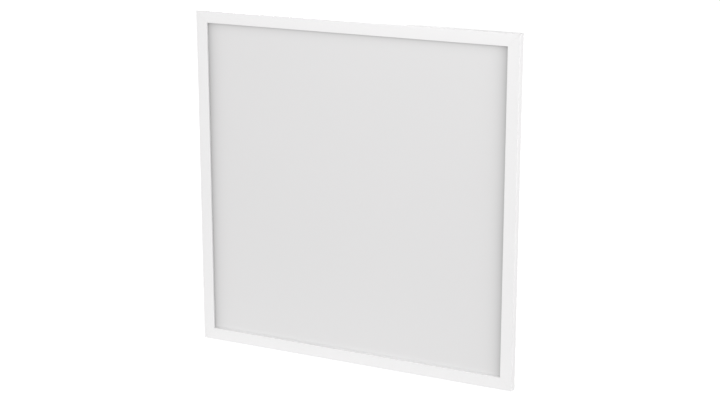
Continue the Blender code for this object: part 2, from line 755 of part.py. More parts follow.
def build_terminal(mount, name, side):
    """A two-pole push-in block, with wire holes to its cable and a well for each release button."""
    low, high = both_ways(*TERMINAL_X, side)
    half = TERMINAL_HALF_WIDTH
    blank = box((low, PARTS_LEVEL, -half), (high, TERMINAL_TOP, half))
    block = body(name, blank, terminal_plastic(), mount)
    cut = bmesh.new()
    wire_way = both_ways(TERMINAL_X[1] - WIRE_DEPTH, TERMINAL_X[1] + 0.001, side)
    half_x = BUTTON[0] / 2 + BUTTON_FIT
    half_z = BUTTON[2] / 2 + BUTTON_FIT
    x = side * BUTTON_X
    for z in (-POLE, POLE):
        add_cylinder(cut, WIRE_HOLE, *wire_way, (0, WIRE_LEVEL, z), "X", 10)
        foot = (x - half_x, BUTTON_FOOT - 0.002, z - half_z)
        add_box(cut, foot, (x + half_x, TERMINAL_TOP + 0.001, z + half_z))
    boolean(block, "DIFFERENCE", helper(name + "_cuts", cut, mount))


def build_buttons(mount):
    """Four release buttons, one to a pole, which travel into their block."""
    half_x, half_z = BUTTON[0] / 2, BUTTON[2] / 2
    mesh = mesh_of("button", box((-half_x, 0, -half_z), (half_x, BUTTON[1], half_z)))
    places = {
        "mains_button_line": (-1, 1),
        "mains_button_neutral": (-1, -1),
        "output_button_plus": (1, 1),
        "output_button_minus": (1, -1),
    }
    for name, (side, pole) in places.items():
        at = (side * BUTTON_X, BUTTON_FOOT, pole * POLE)
        place(name, mesh, button_plastic(), mount, at)


def build_clamp(mount):
    """The mains cable's clamp: a grooved bar on two posts, with its screws."""
    half_x, half_z = 0.004, 0.014
    low = CLAMP_LEVEL + GAP
    top = low + CLAMP_THICK
    bar = box((-CLAMP_X - half_x, low, -half_z), (half_x - CLAMP_X, top, half_z))
    obj = body("mains_cable_clamp", bar, case_plastic(), mount)
    groove_axis = (-CLAMP_X, low - CLAMP_GROOVE + 0.0012, 0)
    cut = add_cylinder(bmesh.new(), CLAMP_GROOVE, -0.005, 0.005, groove_axis, "X", 20)
    for across in (-1, 1):
        add_cylinder(cut, CLAMP_HOLE, low - 0.001, top + 0.001, (-CLAMP_X, 0, across * CLAMP_POST), steps=10)
    boolean(obj, "DIFFERENCE", helper("clamp_cuts", cut, mount))
    mesh = screw_mesh(0.008, 0.0012)
    for number, across in enumerate((-1, 1), 1):
        at = (-CLAMP_X, top + GAP, across * CLAMP_POST)
        place(f"clamp_screw_{number}", mesh, zinc(), mount, at)


def build_driver_screws(mount):
    mesh = screw_mesh(0.005, 0.0015)
    for number, side in enumerate((-1, 1), 1):
        at = (side * (CASE_HALF_LENGTH + EAR_HOLE), EAR_THICK + GAP, 0)
        place(f"driver_screw_{number}", mesh, zinc(), mount, at)


def build_electronics(mount):
    """The driver's board, which runs under both partitions, with its transformer and its main capacitor."""
    length, width = BOARD_HALF_LENGTH, BOARD_HALF_WIDTH
    board = box((-length, BOARD_LEVEL, -width), (length, BOARD_LEVEL + BOARD_THICK, width))
    body("driver_board", board, board_green(), mount)

    at = (TRANSFORMER_X, PARTS_LEVEL, 0)
    coil = box((-0.009, 0, -0.010), (0.009, 0.013, 0.010))
    transformer = body("driver_transformer", coil, ferrite(), mount, at)
    core = box((-0.013, 0.002, -0.006), (0.013, 0.0145, 0.006))
    boolean(transformer, "UNION", helper("core", core, mount, at))

    half, neck = 0.011, CAN_RADIUS - 0.0006
    crimp = [(CAN_RADIUS, half - 0.003), (neck, half - 0.0024), (CAN_RADIUS, half - 0.0018)]
    profile = [(0, -half), (CAN_RADIUS, -half), *crimp, (CAN_RADIUS, half), (0, half)]
    can = add_turned(bmesh.new(), profile, 16, (CAN_AT[0], PARTS_LEVEL + CAN_RADIUS, CAN_AT[1]), "X")
    body("driver_capacitor", can, can_sleeve(), mount)


def build_grommet():
    """A rubber bush in the tray's floor that the lead goes through."""
    back, front = TRAY_DEPTH, TRAY_DEPTH - SHEET
    bore, neck, flange = LEAD_RADIUS + GAP, GROMMET_HOLE - GAP, GROMMET_FLANGE
    profile = [
        (bore, front - GAP - LOOM_THICK),
        (flange, front - GAP - LOOM_THICK),
        (flange, front - GAP),
        (neck, front - GAP),
        (neck, back + GAP),
        (flange, back + GAP),
        (flange, back + GAP + 0.0012),
        (flange - 0.0012, back + GAP + 0.002),
        (bore + 0.0014, back + 0.006),
        (bore, back + 0.006),
    ]
    bm = add_turned(bmesh.new(), profile, 16, (GROMMET_AT[0], 0, GROMMET_AT[1]), closed=True)
    body("tray_grommet", bm, rubber())


def smooth_route(points, steps):
    """Points on a Catmull-Rom curve through the route's own points."""
    knots = [Vector(point) for point in points]
    padded = [2 * knots[0] - knots[1], *knots, 2 * knots[-1] - knots[-2]]
    route = []
    for a, b, c, d in zip(padded, padded[1:], padded[2:], padded[3:]):
        for i in range(steps):
            t = i / steps
            first = (c - a) * t
            second = (2 * a - 5 * b + 4 * c - d) * t**2
            third = (3 * b - a - 3 * c + d) * t**3
            route.append((2 * b + first + second + third) / 2)
    return [*route, knots[-1]]


def build_lead(mount):
    """The lead from the driver's output block to the loom, through the case's slot and the tray's grommet."""
    curve = bpy.data.curves.new("dc_lead", "CURVE")
    curve.dimensions = "3D"
    curve.bevel_depth = LEAD_RADIUS
    curve.bevel_resolution = 2
    curve.use_fill_caps = True
    route = smooth_route(LEAD_ROUTE, LEAD_STEPS)
    spline = curve.splines.new("POLY")
    spline.points.add(len(route) - 1)
    for point, at in zip(spline.points, route):
        point.co = (*at, 1)
    curve.materials.append(lead_sheath())
    lead = bpy.data.objects.new("dc_lead", curve)
    bpy.context.scene.collection.objects.link(lead)
    lead.parent = mount


def build_driver():
    mount = driver_mount()
    build_case(mount)
    build_lid(mount)
    build_flap(mount, "mains_flap", -1, MAINS_SLOT, 0.0153)
    build_flap(mount, "output_flap", 1, LEAD_SLOT, 0.0122)
    build_terminal(mount, "mains_terminal", -1)
    build_terminal(mount, "output_terminal", 1)
    build_buttons(mount)
    build_clamp(mount)
    build_driver_screws(mount)
    build_electronics(mount)
    build_lead(mount)


def main():
    clear_scene()
    build_frame()
    build_corner_keys()
    build_diffuser()
    build_tray()
    build_reflector()
    build_strips()
    build_loom()
    build_tray_screws()
    build_brackets()
    build_grommet()
    build_driver()


main()
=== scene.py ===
"""The looks of the LED panel light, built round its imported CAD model.

Each CAD piece is replaced by a finer one of the same size in the same place. Lengths are in metres, in the
row frame: the light leaves along -Y and +Z is up.
"""

import math

import bmesh
import bpy
from mathutils import Matrix, Vector


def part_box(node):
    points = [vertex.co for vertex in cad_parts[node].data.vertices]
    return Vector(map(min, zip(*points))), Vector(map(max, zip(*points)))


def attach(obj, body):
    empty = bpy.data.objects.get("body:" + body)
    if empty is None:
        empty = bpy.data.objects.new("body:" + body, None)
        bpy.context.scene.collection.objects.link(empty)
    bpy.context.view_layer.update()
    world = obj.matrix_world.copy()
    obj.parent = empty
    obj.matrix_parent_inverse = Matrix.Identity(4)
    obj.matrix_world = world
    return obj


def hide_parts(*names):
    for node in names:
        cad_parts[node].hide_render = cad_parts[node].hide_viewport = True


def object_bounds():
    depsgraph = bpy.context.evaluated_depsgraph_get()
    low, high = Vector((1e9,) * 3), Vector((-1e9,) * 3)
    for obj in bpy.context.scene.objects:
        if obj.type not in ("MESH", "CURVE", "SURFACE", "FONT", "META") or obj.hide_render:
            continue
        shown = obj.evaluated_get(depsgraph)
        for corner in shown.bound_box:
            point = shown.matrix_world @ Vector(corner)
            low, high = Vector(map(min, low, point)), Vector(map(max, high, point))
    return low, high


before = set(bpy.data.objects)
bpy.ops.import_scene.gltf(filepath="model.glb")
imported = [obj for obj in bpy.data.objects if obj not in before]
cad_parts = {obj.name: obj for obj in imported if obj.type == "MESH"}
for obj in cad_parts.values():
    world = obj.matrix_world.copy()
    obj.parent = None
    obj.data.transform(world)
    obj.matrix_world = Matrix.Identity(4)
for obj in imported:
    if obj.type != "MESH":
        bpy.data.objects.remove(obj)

CAD_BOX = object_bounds()

# The camera: where it stands, and the point it looks at
CAMERA_AT = (1.1995, -2.3512, 0.6914)
CAMERA_AIM = (0.0176, 0.0, -0.009)
CAMERA_LENS = 80.98

# The studio
FLOOR_SIZE = 30.0
FLOOR_COLOUR = (0.15, 0.15, 0.15)
FLOOR_GLOW = 1.0
FRONT_LIGHT = 0.68
REAR_LIGHT = 0.26
SOFTBOXES = {  # where it hangs, its size and its power in watts
    "front": ((0.3, -1.0, 0.9), (1.2, 0.8), 4.4),
    "low": ((-0.2, -0.7, -0.9), (1.6, 0.6), 3.0),
    "overhead": ((0.2, -1.0, 2.6), (1.6, 1.2), 10.0),
    "right": ((2.6, 0.8, 0.2), (1.6, 2.0), 38.0),
    "behind": ((-1.7, 2.2, 1.4), (0.9, 0.9), 60.0),
}

# Sizes that the frame gives
HALF = CAD_BOX[1].x
RIM_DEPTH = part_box("frame_top")[1].y
FACE_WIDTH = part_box("frame_top")[1].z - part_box("frame_top")[0].z
TRAY_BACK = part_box("driver_base")[0].y - 0.0003
DRIVER = Vector((0.0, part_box("driver_base")[0].y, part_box("driver_board")[0].z + 0.020))

# The frame's section, as distances inward from the panel's edge
FRAME_WALL = 0.0012
LIP_DEPTH = 0.0037
RIB_TOP = 0.0102
RIB_OUTER = 0.0046
RIB_INNER = 0.0088
OUTER_ROUND = 0.0009
INNER_ROUND = 0.0007
MITRE_GAP = 0.00003
GAP = 0.0003
SCREW_LINE = (RIB_OUTER + FRAME_WALL + RIB_INNER) / 2
SCREW_STEP = 0.200

# The tray and what it holds. Depths of sheets are of their middle.
SHEET = 0.0006
FLANGE_DEPTH = RIB_TOP + GAP + SHEET / 2
LAND_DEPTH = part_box("diffuser_sheet")[1].y + GAP + SHEET / 2
FLOOR_DEPTH = TRAY_BACK - SHEET / 2
TRAY_CORNERS = ((0.002, 0.003), (0.0116, 0.004), (0.019, 0.006), (0.046, 0.014), (0.3, 0.014))
BEADS = (0.070, 0.203)
BEAD_WIDTH = 0.010
BEAD_HEIGHT = 0.0012
FILM = 0.0005
FILM_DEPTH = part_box("reflector_film")[1].y - FILM / 2
FILM_RIM_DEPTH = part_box("reflector_film")[0].y + FILM / 2
STRIP_PITCH = 0.090
STRIPS = 6
GROMMET = (0.165, 0.162)
GROMMET_HOLE = 0.005


def linked(name, data):
    """A new object in the scene."""
    obj = bpy.data.objects.new(name, data)
    bpy.context.scene.collection.objects.link(obj)
    return obj


def put(node, **values):
    """Sets a node's inputs, which are named with _ for a space."""
    for name, value in values.items():
        node.inputs[name.replace("_", " ")].default_value = value


# Studio


def add_camera():
    data = bpy.data.cameras.new("camera")
    data.lens = CAMERA_LENS
    data.sensor_width = 36.0
    data.clip_start = 0.01
    data.clip_end = 100.0
    camera = linked("camera", data)
    camera.location = CAMERA_AT
    away = Vector(CAMERA_AIM) - Vector(CAMERA_AT)
    camera.rotation_euler = away.to_track_quat("-Z", "Y").to_euler()
    bpy.context.scene.camera = camera


def add_floor():
    """A pale floor that the camera sees as plain white, and that casts no light of its own."""
    bm = bmesh.new()
    bmesh.ops.create_grid(bm, x_segments=1, y_segments=1, size=FLOOR_SIZE)
    floor = blank(bm, "floor")
    floor.location.z = CAD_BOX[0].z - 0.001
    shader = Surface("floor", FLOOR_COLOUR, 1.0).shader
    put(shader, Specular_IOR_Level=0.0, Emission_Color=(1, 1, 1, 1), Emission_Strength=FLOOR_GLOW)
    floor.data.materials.append(MATERIALS["floor"])
    floor.visible_diffuse = False
    floor.visible_glossy = False
    floor.visible_shadow = False


def add_world():
    """White where the camera sees it. As a light it is bright in front of the panel and dim behind."""
    world = bpy.data.worlds.new("studio")
    bpy.context.scene.world = world
    world.use_nodes = True
    nodes, links = world.node_tree.nodes, world.node_tree.links
    background = nodes["Background"]
    put(background, Color=(1, 1, 1, 1))
    direction = nodes.new("ShaderNodeSeparateXYZ")
    links.new(nodes.new("ShaderNodeTexCoord").outputs["Generated"], direction.inputs[0])
    light = nodes.new("ShaderNodeMapRange")
    put(light, From_Min=-0.2, From_Max=0.4, To_Min=FRONT_LIGHT, To_Max=REAR_LIGHT)
    links.new(direction.outputs["Y"], light.inputs["Value"])
    path = nodes.new("ShaderNodeLightPath")
    strength = nodes.new("ShaderNodeMapRange")
    put(strength, To_Max=1.0)
    links.new(light.outputs["Result"], strength.inputs["To Min"])
    links.new(path.outputs["Is Camera Ray"], strength.inputs["Value"])
    links.new(strength.outputs["Result"], background.inputs["Strength"])


def add_lights():
    """Rectangular soft lights that point at the middle of the panel."""
    for name, (at, size, power) in SOFTBOXES.items():
        data = bpy.data.lights.new(name, "AREA")
        data.shape = "RECTANGLE"
        data.size, data.size_y = size
        data.energy = power
        light = linked(name, data)
        light.location = at
        light.rotation_euler = (-Vector(at)).to_track_quat("-Z", "Y").to_euler()
        light.visible_camera = False


# Materials

MATERIALS = {}


class Surface:
    """A Principled material whose colour, roughness and bump are patterned in the row frame."""

    def __init__(self, name, colour, roughness, metallic=0.0):
        material = bpy.data.materials.new(name)
        material.use_nodes = True
        MATERIALS[name] = material
        self.tree = material.node_tree
        self.shader = self.tree.nodes["Principled BSDF"]
        put(self.shader, Base_Color=(*colour, 1.0), Roughness=roughness, Metallic=metallic)
        self.place = self.add("ShaderNodeTexCoord").outputs["Object"]
        self.bumps = None

    def add(self, kind, **settings):
        node = self.tree.nodes.new(kind)
        for name, value in settings.items():
            setattr(node, name, value)
        return node

    def feed(self, socket, value):
        """Links a socket, or sets a number or a colour."""
        if isinstance(value, bpy.types.NodeSocket):
            self.tree.links.new(value, socket)
        else:
            socket.default_value = value

    def math(self, operation, *values):
        node = self.add("ShaderNodeMath", operation=operation)
        for socket, value in zip(node.inputs, values):
            self.feed(socket, value)
        return node.outputs[0]

    def stretched(self, scale):
        """The place, scaled differently along each axis."""
        node = self.add("ShaderNodeMapping")
        self.feed(node.inputs["Vector"], self.place)
        put(node, Scale=scale)
        return node.outputs[0]

    def noise(self, scale, detail, place=None):
        node = self.add("ShaderNodeTexNoise")
        self.feed(node.inputs["Vector"], place or self.place)
        put(node, Scale=scale, Detail=detail)
        return node.outputs[0]

    def cells(self, scale):
        node = self.add("ShaderNodeTexVoronoi")
        self.feed(node.inputs["Vector"], self.place)
        put(node, Scale=scale)
        return node.outputs["Distance"]

    def coordinate(self, axis):
        node = self.add("ShaderNodeSeparateXYZ")
        self.feed(node.inputs[0], self.place)
        return node.outputs[axis]

    def spread(self, value, low, high, out_low, out_high):
        """The value's range from low to high, mapped to another and kept inside it."""
        node = self.add("ShaderNodeMapRange")
        put(node, From_Min=low, From_Max=high, To_Min=out_low, To_Max=out_high)
        self.feed(node.inputs["Value"], value)
        return node.outputs[0]

    def tint(self, share, colour):
        """Mixes another colour over the one so far."""
        node = self.add("ShaderNodeMix", data_type="RGBA")
        socket = self.shader.inputs["Base Color"]
        so_far = socket.links[0].from_socket if socket.is_linked else tuple(socket.default_value)
        self.feed(node.inputs["A"], so_far)
        node.inputs["B"].default_value = (*colour, 1.0)
        self.feed(node.inputs["Factor"], share)
        self.feed(socket, node.outputs["Result"])

    def mottle(self, scale, detail, low, high, share, colour):
        """Mixes another colour in, up to the share, as a noise goes from low to high."""
        self.tint(self.spread(self.noise(scale, detail), low, high, 0.0, share), colour)

    def roughen(self, scale, detail, low, high):
        """Roughness from low to high, as a noise goes from dark to light."""
        value = self.spread(self.noise(scale, detail), 0.3, 0.7, low, high)
        self.feed(self.shader.inputs["Roughness"], value)

    def bump(self, value, height):
        node = self.add("ShaderNodeBump")
        put(node, Distance=height)
        self.feed(node.inputs["Height"], value)
        if self.bumps:
            self.feed(node.inputs["Normal"], self.bumps)
        self.bumps = node.outputs[0]
        self.feed(self.shader.inputs["Normal"], self.bumps)

    def grain(self, scale, detail, height):
        self.bump(self.noise(scale, detail), height)


def powder_coat():
    """Satin white powder on aluminium: a fine orange peel, with faint handling marks in its gloss."""
    made = Surface("powder_coat", (0.905, 0.899, 0.901), 0.36)
    made.mottle(14.0, 3.0, 0.35, 0.75, 0.5, (0.889, 0.884, 0.887))
    made.roughen(45.0, 5.0, 0.31, 0.41)
    made.grain(620.0, 2.0, 0.000012)
    made.grain(2600.0, 1.0, 0.000003)


def tray_coat():
    """Thin white coil coat on pressed steel, with drawing marks down the walls and a little handling dirt."""
    made = Surface("tray_coat", (0.83, 0.83, 0.82), 0.42)
    marks = made.noise(30.0, 4.0, made.stretched((1.0, 1.0, 0.12)))
    made.tint(made.spread(marks, 0.45, 0.8, 0.0, 0.35), (0.77, 0.77, 0.76))
    made.mottle(7.0, 6.0, 0.52, 0.8, 0.4, (0.72, 0.71, 0.69))
    made.roughen(60.0, 5.0, 0.34, 0.52)
    made.grain(380.0, 2.0, 0.00001)
    made.grain(6.0, 1.0, 0.0004)


PAINTED_EDGE_LIGHT_AND_SHADE = (  # painted shade and painted light at the opal sheet's edges: axis, which side, share at the edge, over what distance it fades, and its shade
    # the first row is painted light along the bottom edge, the others are painted shade along the sides and
    # the top
    ("Z", -1.0, 1.25, 0.0028, 0.97),
    ("X", -1.0, 0.42, 0.009, 0.02),
    ("X", 1.0, 0.52, 0.0095, 0.02),
    ("Z", 1.0, 0.19, 0.005, 0.02),
)


def opal_sheet():
    """Opal acrylic with a fine satin face. Painted shade darkens it towards its sides and its top,
    and painted light makes it paler along the bottom."""
    made = Surface("opal_sheet", (0.783, 0.777, 0.779), 0.5)
    opening = HALF - FACE_WIDTH
    # each row paints shade into the sheet's colour near its edge, and the bottom row paints light
    for axis, side, share, width, shade in PAINTED_EDGE_LIGHT_AND_SHADE:
        inside = made.math("MULTIPLY_ADD", made.coordinate(axis), -side, opening)
        fade = made.math("EXPONENT", made.math("DIVIDE", inside, -width))
        made.tint(made.math("MINIMUM", made.math("MULTIPLY", fade, share), 0.9), (shade, shade, shade))
    made.mottle(3.2, 2.0, 0.35, 0.7, 0.25, (0.75, 0.75, 0.75))
    made.roughen(900.0, 2.0, 0.44, 0.56)
    made.grain(3200.0, 2.0, 0.000004)


def zinc_plate():
    """Bright zinc plate, with the faint colours of its passivation and fine scratches."""
    made = Surface("zinc_plate", (0.68, 0.69, 0.71), 0.3, 1.0)
    made.mottle(160.0, 3.0, 0.4, 0.75, 0.5, (0.70, 0.66, 0.55))
    made.mottle(95.0, 2.0, 0.5, 0.8, 0.45, (0.52, 0.58, 0.68))
    made.roughen(500.0, 4.0, 0.24, 0.42)
    made.bump(made.noise(2500.0, 3.0, made.stretched((0.08, 1.0, 1.0))), 0.000004)


def cast_zinc():
    made = Surface("cast_zinc", (0.55, 0.56, 0.57), 0.45, 1.0)
    made.mottle(220.0, 4.0, 0.4, 0.7, 0.6, (0.43, 0.44, 0.45))
    made.roughen(700.0, 4.0, 0.38, 0.6)
    made.grain(1200.0, 3.0, 0.00003)


def moulded(name, colour, shade, grain=0.00002, rough=(0.42, 0.55)):
    """A moulded plastic with a spark-eroded grain and a slightly uneven colour."""
    made = Surface(name, colour, rough[0])
    made.mottle(35.0, 3.0, 0.4, 0.75, 0.6, shade)
    made.roughen(420.0, 3.0, *rough)
    made.bump(made.cells(1700.0), grain)
    made.grain(60.0, 2.0, 0.00004)


def rubber():
    made = Surface("rubber", (0.035, 0.035, 0.037), 0.75)
    made.mottle(260.0, 4.0, 0.5, 0.8, 0.5, (0.10, 0.10, 0.10))
    made.roughen(500.0, 3.0, 0.62, 0.85)
    made.grain(1600.0, 3.0, 0.00002)


def white_film():
    made = Surface("white_film", (0.94, 0.94, 0.94), 0.7)
    made.mottle(1400.0, 3.0, 0.5, 0.7, 0.4, (0.87, 0.87, 0.87))
    made.roughen(300.0, 3.0, 0.6, 0.8)
    made.grain(900.0, 2.0, 0.00001)


def board_mask(name, colour, trace):
    """Solder mask over copper: the traces show through as a slightly different shade, and stand proud."""
    made = Surface(name, colour, 0.35)
    bricks = made.add("ShaderNodeTexBrick")
    made.feed(bricks.inputs["Vector"], made.stretched((1.0, 1.0, 1.0)))
    put(bricks, Scale=90.0, Mortar_Size=0.03)
    lines = bricks.outputs["Fac"]
    made.tint(made.math("MULTIPLY", lines, 0.7), trace)
    made.mottle(200.0, 3.0, 0.4, 0.7, 0.35, tuple(0.8 * part for part in colour))
    made.roughen(350.0, 3.0, 0.28, 0.42)
    made.bump(lines, 0.00003)


def tin():
    made = Surface("tin", (0.75, 0.75, 0.73), 0.3, 1.0)
    made.roughen(1500.0, 3.0, 0.2, 0.42)
    made.grain(2200.0, 2.0, 0.00001)


def brass():
    made = Surface("brass", (0.80, 0.62, 0.32), 0.3, 1.0)
    made.mottle(500.0, 3.0, 0.4, 0.7, 0.5, (0.62, 0.45, 0.20))
    made.roughen(900.0, 3.0, 0.22, 0.4)


def phosphor():
    made = Surface("phosphor", (0.88, 0.74, 0.22), 0.35)
    made.mottle(2500.0, 3.0, 0.4, 0.7, 0.5, (0.80, 0.62, 0.14))
    made.roughen(2500.0, 2.0, 0.25, 0.45)


def lens_acrylic():
    made = Surface("lens_acrylic", (0.97, 0.98, 0.99), 0.06)
    put(made.shader, Transmission_Weight=0.92, IOR=1.49)
    made.roughen(300.0, 3.0, 0.03, 0.10)
    made.grain(120.0, 1.0, 0.00001)


def ferrite():
    made = Surface("ferrite", (0.060, 0.058, 0.062), 0.5)
    made.mottle(1800.0, 3.0, 0.5, 0.72, 0.6, (0.14, 0.14, 0.15))
    made.roughen(800.0, 3.0, 0.42, 0.62)
    made.grain(1500.0, 3.0, 0.00003)


def winding_tape():
    """Yellow polyester tape, whose turns overlap."""
    made = Surface("winding_tape", (0.86, 0.70, 0.10), 0.3)
    turns = made.math("PINGPONG", made.math("MULTIPLY", made.coordinate("Y"), 420.0), 1.0)
    made.tint(made.spread(turns, 0.0, 0.25, 0.5, 0.0), (0.62, 0.47, 0.05))
    made.roughen(400.0, 3.0, 0.22, 0.38)
    made.bump(turns, 0.00003)


def can_sleeve():
    """Dark shrunk sleeve with a plain pale stripe along it."""
    made = Surface("can_sleeve", (0.035, 0.045, 0.085), 0.3)
    high = made.spread(made.coordinate("Z"), DRIVER.z + 0.0108, DRIVER.z + 0.0111, 0.0, 1.0)
    made.tint(high, (0.62, 0.63, 0.66))
    made.mottle(240.0, 3.0, 0.5, 0.75, 0.3, (0.10, 0.11, 0.14))
    made.roughen(500.0, 3.0, 0.22, 0.38)


FINE_GRAIN = 0.000004
GLOSSY = (0.3, 0.4)


def add_materials():
    for make in (powder_coat, tray_coat, opal_sheet, zinc_plate, cast_zinc, rubber, white_film):
        make()
    for make in (tin, brass, phosphor, lens_acrylic, ferrite, winding_tape, can_sleeve):
        make()
    board_mask("board_white", (0.90, 0.90, 0.86), (0.82, 0.83, 0.78))
    board_mask("board_green", (0.03, 0.20, 0.08), (0.06, 0.30, 0.13))
    moulded("case_plastic", (0.86, 0.86, 0.84), (0.82, 0.82, 0.79))
    moulded("lead_sheath", (0.84, 0.84, 0.82), (0.78, 0.78, 0.75), 0.000006, (0.35, 0.5))
    moulded("core_red", (0.55, 0.05, 0.04), (0.45, 0.03, 0.03), FINE_GRAIN, GLOSSY)
    moulded("core_black", (0.03, 0.03, 0.03), (0.06, 0.06, 0.06), FINE_GRAIN, GLOSSY)
    moulded("terminal_plastic", (0.40, 0.42, 0.44), (0.34, 0.36, 0.38), 0.000012)
    moulded("button_plastic", (0.88, 0.38, 0.06), (0.76, 0.30, 0.04), 0.00001)
    moulded("bobbin_plastic", (0.05, 0.05, 0.055), (0.09, 0.09, 0.09), 0.00001)
    moulded("film_capacitor", (0.70, 0.16, 0.08), (0.60, 0.12, 0.06), 0.000006, (0.25, 0.35))
    moulded("led_body", (0.90, 0.90, 0.88), (0.86, 0.86, 0.83), FINE_GRAIN)


# Shapes


def prism(bm, outline, axis, low, high, finish=0):
    """Extrudes a flat outline along X, Y or Z. It gives the two other coordinates, in X, Y, Z order."""

    def point(pair, along):
        coordinates = list(pair)
        coordinates.insert("XYZ".index(axis), along)
        return Vector(coordinates)

    face = bm.faces.new([bm.verts.new(point(pair, low)) for pair in outline])
    grown = bmesh.ops.extrude_face_region(bm, geom=[face])["geom"]
    moved = [part for part in grown if isinstance(part, bmesh.types.BMVert)]
    bmesh.ops.translate(bm, verts=moved, vec=point((0, 0), high - low))
    for vert in moved:
        for touched in vert.link_faces:
            touched.material_index = finish
    face.material_index = finish
    return bm


def slab(bm, low, high, finish=0):
    outline = [(low[0], low[1]), (high[0], low[1]), (high[0], high[1]), (low[0], high[1])]
    return prism(bm, outline, "Z", low[2], high[2], finish)


def boss(bm, half_x, half_z, radius, low, high, at=(0, 0), steps=6, finish=0):
    """A block with round corners that stands along Y."""
    return prism(bm, rounded(half_x, half_z, radius, at, steps), "Y", low, high, finish)


def turned(bm, profile, steps, centre=(0, 0, 0), axis="Y", closed=False, finish=0):
    """Spins a profile of (radius, height) points about an axis through centre."""
    turn = {
        "X": Matrix.Rotation(-math.pi / 2, 3, "Z"),
        "Y": Matrix.Identity(3),
        "Z": Matrix.Rotation(math.pi / 2, 3, "X"),
    }
    rotation, middle = turn[axis], Vector(centre)
    before = set(bm.faces)
    points = [bm.verts.new(middle + rotation @ Vector((r, h, 0))) for r, h in profile]
    edges = [bm.edges.new(pair) for pair in zip(points, points[1:])]
    if closed:
        edges.append(bm.edges.new((points[-1], points[0])))
    line = rotation @ Vector((0, 1, 0))
    bmesh.ops.spin(bm, geom=points + edges, cent=middle, axis=line, angle=2 * math.pi, steps=steps)
    made = [face for face in bm.faces if face not in before]
    verts = list({vert for face in made for vert in face.verts})
    bmesh.ops.remove_doubles(bm, verts=verts, dist=2e-6)
    for face in bm.faces:
        if face not in before:
            face.material_index = finish
    return bm


def rod(bm, radius, low, high, centre, axis="Y", steps=32, finish=0):
    profile = [(0, low), (radius, low), (radius, high), (0, high)]
    return turned(bm, profile, steps, centre, axis, finish=finish)


def arc(centre, radius, start, end, steps):
    """Points on an arc in a plane, with its angles in degrees."""
    angles = [math.radians(start + (end - start) * i / steps) for i in range(steps + 1)]
    return [(centre[0] + radius * math.cos(a), centre[1] + radius * math.sin(a)) for a in angles]


def rounded(half_a, half_b, radius, centre=(0, 0), steps=6):
    """A rectangle with round corners."""
    outline = []
    for sign_a, sign_b, start in ((1, 1, 0), (-1, 1, 90), (-1, -1, 180), (1, -1, 270)):
        middle = (centre[0] + sign_a * (half_a - radius), centre[1] + sign_b * (half_b - radius))
        outline += arc(middle, radius, start, start + 90, steps)
    return outline


def skin(bm, rings, finish=0):
    """Faces from each ring of corners to the next."""
    for first, second in zip(rings, rings[1:]):
        for k in range(len(first)):
            face = bm.faces.new((first[k - 1], first[k], second[k], second[k - 1]))
            face.material_index = finish


def eased(points, radius, steps=4):
    """An open path with its inner corners rounded off, over about the given distance to each side."""
    knots = [Vector(point) for point in points]
    path = [knots[0]]
    for before, corner, after in zip(knots, knots[1:], knots[2:]):
        reach = min(radius, (corner - before).length * 0.48, (after - corner).length * 0.48)
        start = corner + (before - corner).normalized() * reach
        end = corner + (after - corner).normalized() * reach
        for i in range(steps + 1):
            t = i / steps
            path.append((1 - t) ** 2 * start + 2 * t * (1 - t) * corner + t**2 * end)
    return [*path, knots[-1]]


def turn_about_y(bm, angle):
    bmesh.ops.rotate(bm, verts=bm.verts, matrix=Matrix.Rotation(angle, 3, "Y"))


def blank(bm, name="blank"):
    """An object without materials, made of the bmesh, which is used up."""
    mesh = bpy.data.meshes.new(name)
    bm.to_mesh(mesh)
    bm.free()
    return linked(name, mesh)


def baked(obj, *tools):
    """What its modifiers make of an object, as a bmesh. The object and the tools are removed."""
    graph = bpy.context.evaluated_depsgraph_get()
    made = bmesh.new()
    made.from_mesh(obj.evaluated_get(graph).data)
    for used in (obj, *tools):
        bpy.data.objects.remove(used)
    return made


MERGE = 0.000004  # corners that a Boolean leaves closer than this become one
CUT, JOIN, KEEP = "DIFFERENCE", "UNION", "INTERSECT"
SHARP = math.radians(32)  # edges that turn by more than this are sharp, and are bevelled
OTHER_NODES = {"diffuser_opal": "diffuser_sheet"}
PAST = 0.001  # how far a cutting tool reaches past what it cuts


def solid(base, *steps):
    """The base with each (operation, tool) done to it by a Boolean. Base and tools are used up."""
    bmesh.ops.recalc_face_normals(base, faces=base.faces)
    target = blank(base)
    tools = []
    for operation, tool in steps:
        bmesh.ops.recalc_face_normals(tool, faces=tool.faces)
        tools.append(blank(tool))
        modifier = target.modifiers.new(operation, "BOOLEAN")
        modifier.operation = operation
        modifier.object = tools[-1]
        modifier.solver = "MANIFOLD"
    made = baked(target, *tools)
    bmesh.ops.remove_doubles(made, verts=made.verts, dist=MERGE)
    bmesh.ops.dissolve_degenerate(made, edges=made.edges, dist=MERGE)
    return made


def finished(name, bm, surfaces):
    """A mesh of the bmesh, which is used up, with its materials."""
    bmesh.ops.recalc_face_normals(bm, faces=bm.faces)
    mesh = bpy.data.meshes.new(name)
    bm.to_mesh(mesh)
    bm.free()
    for surface in surfaces.split():
        mesh.materials.append(MATERIALS[surface])
    return mesh


def piece(name, bm, surfaces, body="panel", at=(0, 0, 0), bevel=0.0, segments=2):
    """A piece of the looks, in the place that the bmesh and at give."""
    bmesh.ops.translate(bm, verts=bm.verts, vec=at)
    set_up(name, finished(name, bm, surfaces), body, bevel, segments)


def in_driver(name, bm, surfaces, body="panel", at=(0, 0, 0), bevel=0.0):
    """A piece whose shape is given from the middle of the driver's mounting face."""
    piece(name, bm, surfaces, body, DRIVER + Vector(at), bevel)


